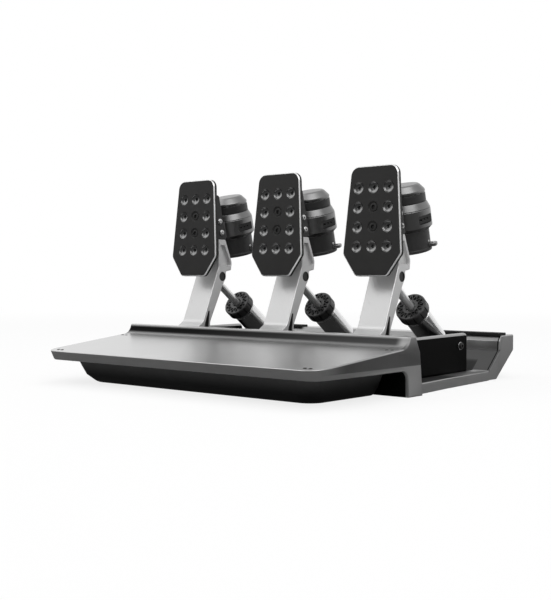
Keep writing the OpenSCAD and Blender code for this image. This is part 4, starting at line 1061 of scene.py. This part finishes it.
def armOutline(s):
    f, top, low, boss = bracket["front"], bracket["seat"], s["headLow"], pinY + s["boss"]
    rear = f + s["headDeep"]
    points = rounded([
        (f, top, 1.5), (f, low + 5, 12), (footY + 0.6, footZ + 1.4, 9), (footY - s["toe"], footZ - 5.5, 1.5),
        (pivotY - s["hub"], pivotZ, 0), (pivotY, pivotZ - 40, 0), (pivotY + s["hub"], pivotZ, 0),
        (footY + s["footDeep"], footZ, 14), (pinY + 1.5, pinZ - 9.5, 9.5), (boss, pinZ - 1.5, 3),
        (boss, low, 1.5), (rear - 1.5, low + 1.5, 1.5), (rear, low + s["bulge"], 6),
        (f + s["headTop"], top, 1.5)])
    at = next(i for i, p in enumerate(points) if p.y < pivotZ - 30)
    return points[:at] + arc((pivotY, pivotZ), s["hub"], 187, 353, 24) + points[at + 1:]


# Cutters for both sides of the arm, as deep as told, wider at the surface
def armPockets(outline, depth, flare):
    heights = ((0, armHalf - depth), (0, armHalf - flare), (-flare, armHalf), (-flare, armHalf + 2))
    sides = [[(d, side * t) for d, t in heights] for side in (-1, 1)]
    points = leftTurning(outline)
    return formed("pockets", [], *[(addLoft, ringsAt(points, levels, sideFrame)) for levels in sides])


def makeArm(s):
    f, top, low, e = bracket["front"], bracket["seat"], s["headLow"], s["frameW"]
    body = formed("arm", ["armSilver", "blackOxide", "cutEdge", "reactorGrey"],
                  (addSlab, armOutline(s), -armHalf, armHalf, s["rim"], sideFrame))
    # Painted highlight: the rim faces, turned partly sideways, take the bright edge finish
    paint(body, 2, lambda face: s["bright"][0] < abs(face.normal.x) < s["bright"][1])
    rear, high, deep = f + s["headDeep"] - e, top - 2 * e, footY + s["footDeep"] - e
    head = rounded([(f + e, high, 1), (f + e, low + 2 * e, 1), (rear, low + 2 * e, 1),
                    (rear, low + s["bulge"], 2), (f + s["headTop"] - e / 2, high, 1)], 5)
    tip = (deep + s["apex"] * 0.45, footZ + s["footDeep"] + s["apex"], 0.8)
    foot = rounded([tip, (footY + e / 2, footZ - 2 * e, 0.8), (deep, footZ - 2 * e, 0.8)], 5)
    # Painted shade: the foot pocket's cut faces take the darker reactor grey
    for outline, (depth, finish) in ((head, s["headPocket"]), (foot, s["footPocket"])):
        carve(body, paint(armPockets(outline, depth, s["pocketFlare"]), finish))
    carve(body, paint(armPockets(disc((pinY, pinZ), s["seatR"]), s["seatD"], s["seatFlare"]), 1))
    bores = [(addSlab, disc(mid, r), -armHalf - 2, armHalf + 2, 0, sideFrame)
             for mid, r in (((pivotY, pivotZ), s["shaftR"]), ((pinY, pinZ), s["pinR"]))]
    carve(body, formed("bores", [], *bores))
    sweep = arc((pinY, pinZ), s["eyeR"], 90, 360 + strutSlope - 40, 30)
    for turn, side in zip(s["swing"], (-1, 1)):
        angle = math.radians(strutSlope + turn)
        way = Vector((math.cos(angle), math.sin(angle)))
        sweep.append(Vector((pinY, pinZ)) + way * 30 + Vector((-way.y, way.x)) * s["rodR"] * side)
    carve(body, formed("rodSlot", [], (addSlab, sweep, -s["slot"], s["slot"], 0, sideFrame)))
    spread(body, ["arm"], "pedal")


makeArm(arm)
print("plates, brackets and arms done")

# Reactor: lower can with ring, port, pad and lug, and the cap above
reactorFrame = frameAt((0, reactor["y"], reactor["z"]), (1, 0, 0), (0, math.cos(tilt), math.sin(tilt)))
toReactor = reactorFrame.inverted()
can = {"r": 22.8, "band": 23.6, "foot": -44.0, "ringR": 27.0, "ringLow": -18.0, "ringHigh": 2.0,
       "capR": 23.5, "seat": 9.0, "wall": 3.0, "portW": 22.0, "portH": 9.0, "portD": 2.6, "portTurn": -6.0,
       "rib": (1.4, 4.0), "ribGap": 5.4, "lugTurn": 20.0, "lugW": 13.0, "lugReach": 29.8, "lugLow": -40.0,
       "lugT": 3.5, "padHalf": 12.0, "screwTurn": 5.0, "screwUp": 10.0, "lugScrew": 4.6,
       "head": (1.5, 0.8, 0.4, 0.8, 0.5, 0.2)}


def reactorTurned(degrees):
    return reactorFrame @ Matrix.Rotation(math.radians(degrees), 4, "Z")


def makeCan(s):
    r, ring, low, high, foot, wall = s["r"], s["ringR"], s["ringLow"], s["ringHigh"], s["foot"], s["wall"]
    inner, seat, band, capR = r - wall, s["seat"], s["band"], s["capR"]
    profile = rounded([
        (0, foot, 0), (band, foot, 1.0), (band, foot + 3, 0.4), (r, foot + 3.8, 0.3), (r, low - 3.2, 0.8),
        (ring, low + 0.6, 0.8), (ring, high - 1.4, 0.3), (ring - 0.5, high - 0.9, 0.2),
        (ring, high - 0.4, 0.6), (capR + 0.5, seat - 0.6, 1.2), (capR - 0.6, seat - 0.05, 0.2),
        (inner, seat - 0.05, 0), (inner, foot + wall, 0), (0, foot + wall, 0)], 5)
    shell = formed("reactorCan", ["reactorGrey", "knurlBlack"], (addLathe, profile, reactorFrame))
    port = reactorTurned(s["portTurn"]) @ Matrix.Rotation(math.pi / 2, 4, "Y")
    mid, wide, tall, floor = -(low + high - 2) / 2, s["portW"] / 2, s["portH"] / 2, ring - s["portD"]
    cut = (addBlock, (mid - tall, -wide, floor), (mid + tall, wide, ring + 3), 1.5, 0, port)
    carve(shell, paint(formed("portCut", [], cut), 1))
    ribH, ribW = [c / 2 for c in s["rib"]]
    ribs = []
    for y in (-s["ribGap"], 0, s["ribGap"]):
        corner = (mid - ribH, y - ribW, floor - 0.4)
        ribs.append((addBlock, corner, (mid + ribH, y + ribW, ring - 0.9), 0.4, 0.2, port))
    ribs = paint(formed("ribs", [], *ribs), 1)
    pad, half, reach, turned = s["padHalf"], s["lugW"] / 2, s["lugReach"], reactorTurned(s["lugTurn"])
    padLow, padHigh = (-pad, -reactor["out"] + 0.05, low + 0.6), (pad, -inner - 1, high - 0.6)
    lug = rounded([(inner + 1, -half, 0), (reach, -half, 4.5), (reach, half, 4.5), (inner + 1, half, 0)], 8)
    lugTop = s["lugLow"] + s["lugT"]
    body = formed("reactorCan", ["reactorGrey", "knurlBlack", "bracketBlack"], (addObject, shell),
                  (addBlock, padLow, padHigh, 0.8, 0.6, reactorFrame),
                  (addSlab, lug, s["lugLow"], lugTop, 0.7, turned), (addObject, ribs))

    def belowRing(face):
        spot = toReactor @ face.center
        return spot.z < low - 3.4 and spot.to_2d().length < band + 0.2

    paint(body, 2, belowRing)
    spread(body, ["reactor_can"], "pedal")
    aside = reactorTurned(s["screwTurn"])
    up, out = [way.to_3d().normalized() for way in (reactorFrame.col[2], aside.col[0])]
    spots = [(turned @ Vector((reach - s["lugScrew"], 0, lugTop)), up),
             (aside @ Vector((r - 0.2, 0, foot + s["screwUp"])), out)]
    spread(growScrews("reactorScrews", s["head"], "brightSteel", spots), [], "pedal")


makeCan(can)
reactorCap = {"top": 28.0, "seam": 18.0, "groove": 0.8, "bevelH": 7.0, "bevelW": 6.0, "wall": 3.0}


def makeCap(s):
    r, seat, seam, g, top = can["capR"], can["seat"], s["seam"], s["groove"], s["top"]
    inner, under = r - s["bevelW"], top - s["wall"]
    profile = rounded([
        (inner, seat, 0), (r, seat, 0.3), (r, seam - g, 0.3), (r - g, seam - 0.3, 0), (r - g, seam + 0.3, 0),
        (r, seam + g, 0.3), (r, top - s["bevelH"], 2.5), (inner + 1.2, top - 1.2, 2.0),
        (inner - 0.5, top, 1.2), (0, top, 0), (0, under, 0), (inner, under, 0)])
    body = formed("reactorCap", ["reactorGrey", "bracketBlack"], (addLathe, profile, reactorFrame))

    def belowSeam(face):
        spot = toReactor @ face.center
        return spot.z < seam and spot.to_2d().length > r - 1

    spread(paint(body, 1, belowSeam), ["reactor_cap"], "pedal")


makeCap(reactorCap)
print("reactors done")

# Strut: polished rod and cylinder, knurled preload cap
strutFrame = frameAt((0, pinY, pinZ), (1, 0, 0), strutAxis.cross(Vector((1, 0, 0))))
strut = {"rodR": 4.5, "eyeR": 6.5, "eyeHalf": 6.0, "pinR": 4.05, "pistonR": 10.45, "piston": (61.8, 69.8),
         "capR": 17.5, "cap": (55.0, 67.0), "capBore": 5.5, "capFace": 3.0, "capEdge": 1.2, "neckR": 12.5,
         "neck": (58.4, 67.4), "bodyR": 14.3, "bodyEnd": 120.0, "groove": 0.5, "grooveAt": 3.0,
         "boreR": 10.5, "bore": (61.4, 117.0), "lowEyeR": 9.0, "lowPinR": 5.2, "fit": 0.05, "capFit": 0.08,
         "notches": 12, "notchR": 0.8, "webs": 14, "webAt": 11.8, "webSpan": (-3.0, 3.0),
         "webFlip": (3.2, -2.8), "webD": 1.3}


# A cross bar round a point of the strut, for eyes and their bores
def crossBar(outline, half, rim):
    return formed("crossBar", [], (addSlab, outline, -half, half, rim, sideFrame))


def makeRod(s):
    r, wide, low, high = s["rodR"], s["pistonR"], *s["piston"]
    shaft = [(0, 0), (r, 0), (r, low), (wide, low), (wide, high), (0, high)]
    body = formed("rod", ["rodSteel"], (addLathe, shaft, strutFrame, 48))
    carve(body, crossBar(disc((pinY, pinZ), s["eyeR"]), s["eyeHalf"], 0.6), "UNION")
    carve(body, crossBar(disc((pinY, pinZ), s["pinR"]), 20, 0))
    spread(body, ["rod"], "push_rod")


makeRod(strut)


def makePreloadCap(s):
    r, low, high, neck = s["capR"], *s["cap"], s["neckR"] + s["capFit"]
    hole, e, under = s["capBore"], s["capEdge"], low + s["capFace"]
    profile = rounded([(hole, low, 0.4), (r - e, low, 0.3), (r, low + e, 0.4), (r, high - e, 0.4),
                       (r - e, high, 0.3), (neck, high, 0), (neck, under, 0), (hole, under, 0)], 4)
    body = formed("preloadCap", ["knurlBlack", "capGrey"], (addLathe, profile, strutFrame, 160))
    paint(body, 1)

    def carveRound(outline, top, count, radius, turn=0.0):
        step = 2 * math.pi / count
        one = formed("cutter", [], (addSlab, outline, low - 1, top, 0, ownFrame))
        cuts = grow("cutters", "round", one, "knurlBlack", {"Count": count, "Radius": radius, "Turn": step})
        cuts.data.transform(strutFrame @ Matrix.Rotation(step * turn, 4, "Z"))
        carve(body, cuts)

    carveRound(disc((0, 0), s["notchR"], 12), high + 1, s["notches"], r + 0.1)
    wide = 12.0 * math.sin(math.pi / s["webs"]) * 0.72
    for (flat, tip), turn in ((s["webSpan"], 0.0), (s["webFlip"], 0.5)):
        web = rounded([(flat, -wide, 0.5), (flat, wide, 0.5), (tip, 0, 0.5)], 3)
        carveRound(web, low + s["webD"], s["webs"], s["webAt"], turn)
    spread(body, ["preload_cap"], "preload")


makePreloadCap(strut)


def makeCylinder(s):
    rod, neck, r, bore, end = s["rodR"] + s["fit"], s["neckR"], s["bodyR"], s["boreR"], s["bodyEnd"]
    (n0, n1), (b0, b1) = s["neck"], s["bore"]
    inner, cut = r - s["groove"], n1 + s["grooveAt"]
    profile = rounded([
        (rod, n0, 0), (neck, n0, 0.5), (neck, n1, 0), (r, n1, 0.8), (r, cut, 0.2), (inner, cut + 0.3, 0),
        (inner, cut + 0.9, 0), (r, cut + 1.2, 0.2), (r, end, 2.0), (0, end, 0), (0, b1, 0), (bore, b1, 0),
        (bore, b0, 0), (rod, b0, 0)], 5)
    body = formed("cylinder", ["chromeSteel"], (addLathe, profile, strutFrame))
    back = lowEye - strutWay * (clevises["reach"] - end + 1)
    across = Vector((-strutWay.y, strutWay.x)) * s["lowEyeR"]
    outline = [back + across, back - across] + arc(lowEye, s["lowEyeR"], strutSlope - 90, strutSlope + 90, 24)
    carve(body, crossBar(outline, s["eyeHalf"], 0.7), "UNION")
    carve(body, crossBar(disc(lowEye, s["lowPinR"]), 20, 0))
    spread(body, ["cylinder"], "strut")


makeCylinder(strut)

# Spring between the piston and the bore's end; the real spring shortens as the pedal is pressed, this one is
# a rigid piece at its rest length
coil = {"r": 8.6, "wire": 1.1, "turns": 7.0, "gap": 0.4, "keep": 0.46}


def makeSpring(s):
    low, high = strut["piston"][1] + s["wire"] + s["gap"], strut["bore"][1] - s["wire"] - s["gap"]
    sizes = {"Turns": s["turns"], "Radius": s["r"], "Height": high - low, "Wire": s["wire"]}
    body = grow("spring", "coil", None, "springSteel", sizes)
    body.data.transform(strutFrame @ Matrix.Translation((0, 0, low)))
    pieces = spread(body, ["spring"], "strut")
    for p, piece in pieces.items():
        anchor = Vector((pedalX[p] * mm, 0, 0)) + strutFrame @ Vector((0, 0, high + s["wire"]))
        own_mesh(piece)


makeSpring(coil)
print("struts done")

# CAD nodes that stay get a finish of their own
kept = {"pivot_bushes": "bushBronze", "clevis_pins": "brightSteel"}
keptOfPedal = {"_pivot_shaft": "brightSteel", "_rod_pin": "blackOxide", "_reactor_motor": "motorSteel"}
kept.update({p + part: finish for p in pedals for part, finish in keptOfPedal.items()})
for node, finish in kept.items():
    mesh = frame["nodes"][node].data
    mesh.materials.clear()
    mesh.materials.append(finishes[finish])

# Floor, lamps and world: headings as directions, each with the span of its cosine and its strength in mirrors
stage = {"floor": 6.0, "floorTone": 0.9, "glow": 0.8, "near": (0.5, 2.2), "ambient": 0.42,
         "mirrorLow": 0.17, "mirrorFloor": 0.12, "backdrop": ((-0.62, 0.78, 0.0), (0.0, 0.85), 1.0),
         "above": ((0.0, 0.0, 1.0), (0.25, 0.9), 0.8), "card": ((0.62, 0.78, 0.0), (0.5, 0.95), 0.85),
         "leftGlow": ((-0.86, 0.5, 0.1), (0.88, 1.0), 0.4)}
lamps = {
    "keyLamp": {"at": (1.2, -0.8, 1.6), "aim": (0.0, 0.0, 0.08), "size": 1.6, "power": 16.0},
    "fillLamp": {"at": (-1.25, -0.85, 1.35), "aim": (0.0, 0.0, 0.1), "size": 2.0, "power": 14.0},
    "topLamp": {"at": (0.1, 0.7, 1.9), "aim": (0.0, 0.05, 0.05), "size": 1.5, "power": 14.0, "hidden": True},
}
white = (1.0, 1.0, 1.0, 1.0)


# Rays from the camera or through glass, and rays in mirrors
def rays(bench):
    path = bench.node("ShaderNodeLightPath")
    return path["Is Camera Ray"].most(path["Is Transmission Ray"]), path["Is Glossy Ray"]


# White where the camera looks; in mirrors white behind the object, pale above and to the right, dim in front
def setWorld(s):
    world = bpy.data.worlds.new("studio")
    world.use_nodes = True
    world.node_tree.nodes.clear()
    bench = Wire(world.node_tree)
    seen, mirrors = rays(bench)
    heading = bench.node("ShaderNodeTexCoord")["Generated"]

    def light(way, limits, strength):
        along = bench.node("ShaderNodeVectorMath", {"operation": "DOT_PRODUCT"}, {0: heading, 1: way})
        return window(bench, along["Value"], *limits) * strength

    level = light(*s["backdrop"]).most(light(*s["above"])).most(light(*s["card"])) + light(*s["leftGlow"])
    mirrored = s["mirrorLow"] + level * (1 - s["mirrorLow"])
    strength = s["ambient"] + seen * (1 - s["ambient"]) + mirrors * (mirrored - s["ambient"])
    glow = bench.node("ShaderNodeBackground", {}, {"Color": white, "Strength": strength})
    bench.node("ShaderNodeOutputWorld", {}, {"Surface": glow})
    scene.world = world


def setFloor(s):
    finish, bench = startFinish("paleFloor")
    seen, mirrors = rays(bench)
    far = bench.node("ShaderNodeVectorMath", {"operation": "LENGTH"}, {0: coordsOf(bench)})["Value"]
    share = window(bench, far, *s["near"], s["glow"])
    matt = bench.node("ShaderNodeBsdfDiffuse", {}, {"Color": grey(s["floorTone"])})
    strength = seen + mirrors * s["mirrorFloor"]
    lit = bench.node("ShaderNodeEmission", {}, {"Color": white, "Strength": strength})
    both = bench.node("ShaderNodeMixShader", {}, {0: seen * share + mirrors, 1: matt, 2: lit})
    bench.node("ShaderNodeOutputMaterial", {}, {"Surface": both})
    bm = bmesh.new()
    bmesh.ops.create_grid(bm, x_segments=8, y_segments=8, size=s["floor"])
    mesh = bpy.data.meshes.new("studioFloor")
    bm.to_mesh(mesh)
    bm.free()
    mesh.materials.append(finish)
    addToScene("studioFloor", mesh)


def setLamp(name, s):
    data = bpy.data.lights.new(name, "AREA")
    data.shape = "SQUARE"
    data.size = s["size"]
    data.energy = s["power"]
    lamp = addToScene(name, data)
    lamp.location = s["at"]
    lamp.rotation_euler = (Vector(s["aim"]) - Vector(s["at"])).to_track_quat("-Z", "Y").to_euler()
    lamp.visible_glossy = not s.get("hidden", False)


setWorld(stage)
setFloor(stage)
for name, settings in lamps.items():
    setLamp(name, settings)
print("stage set")
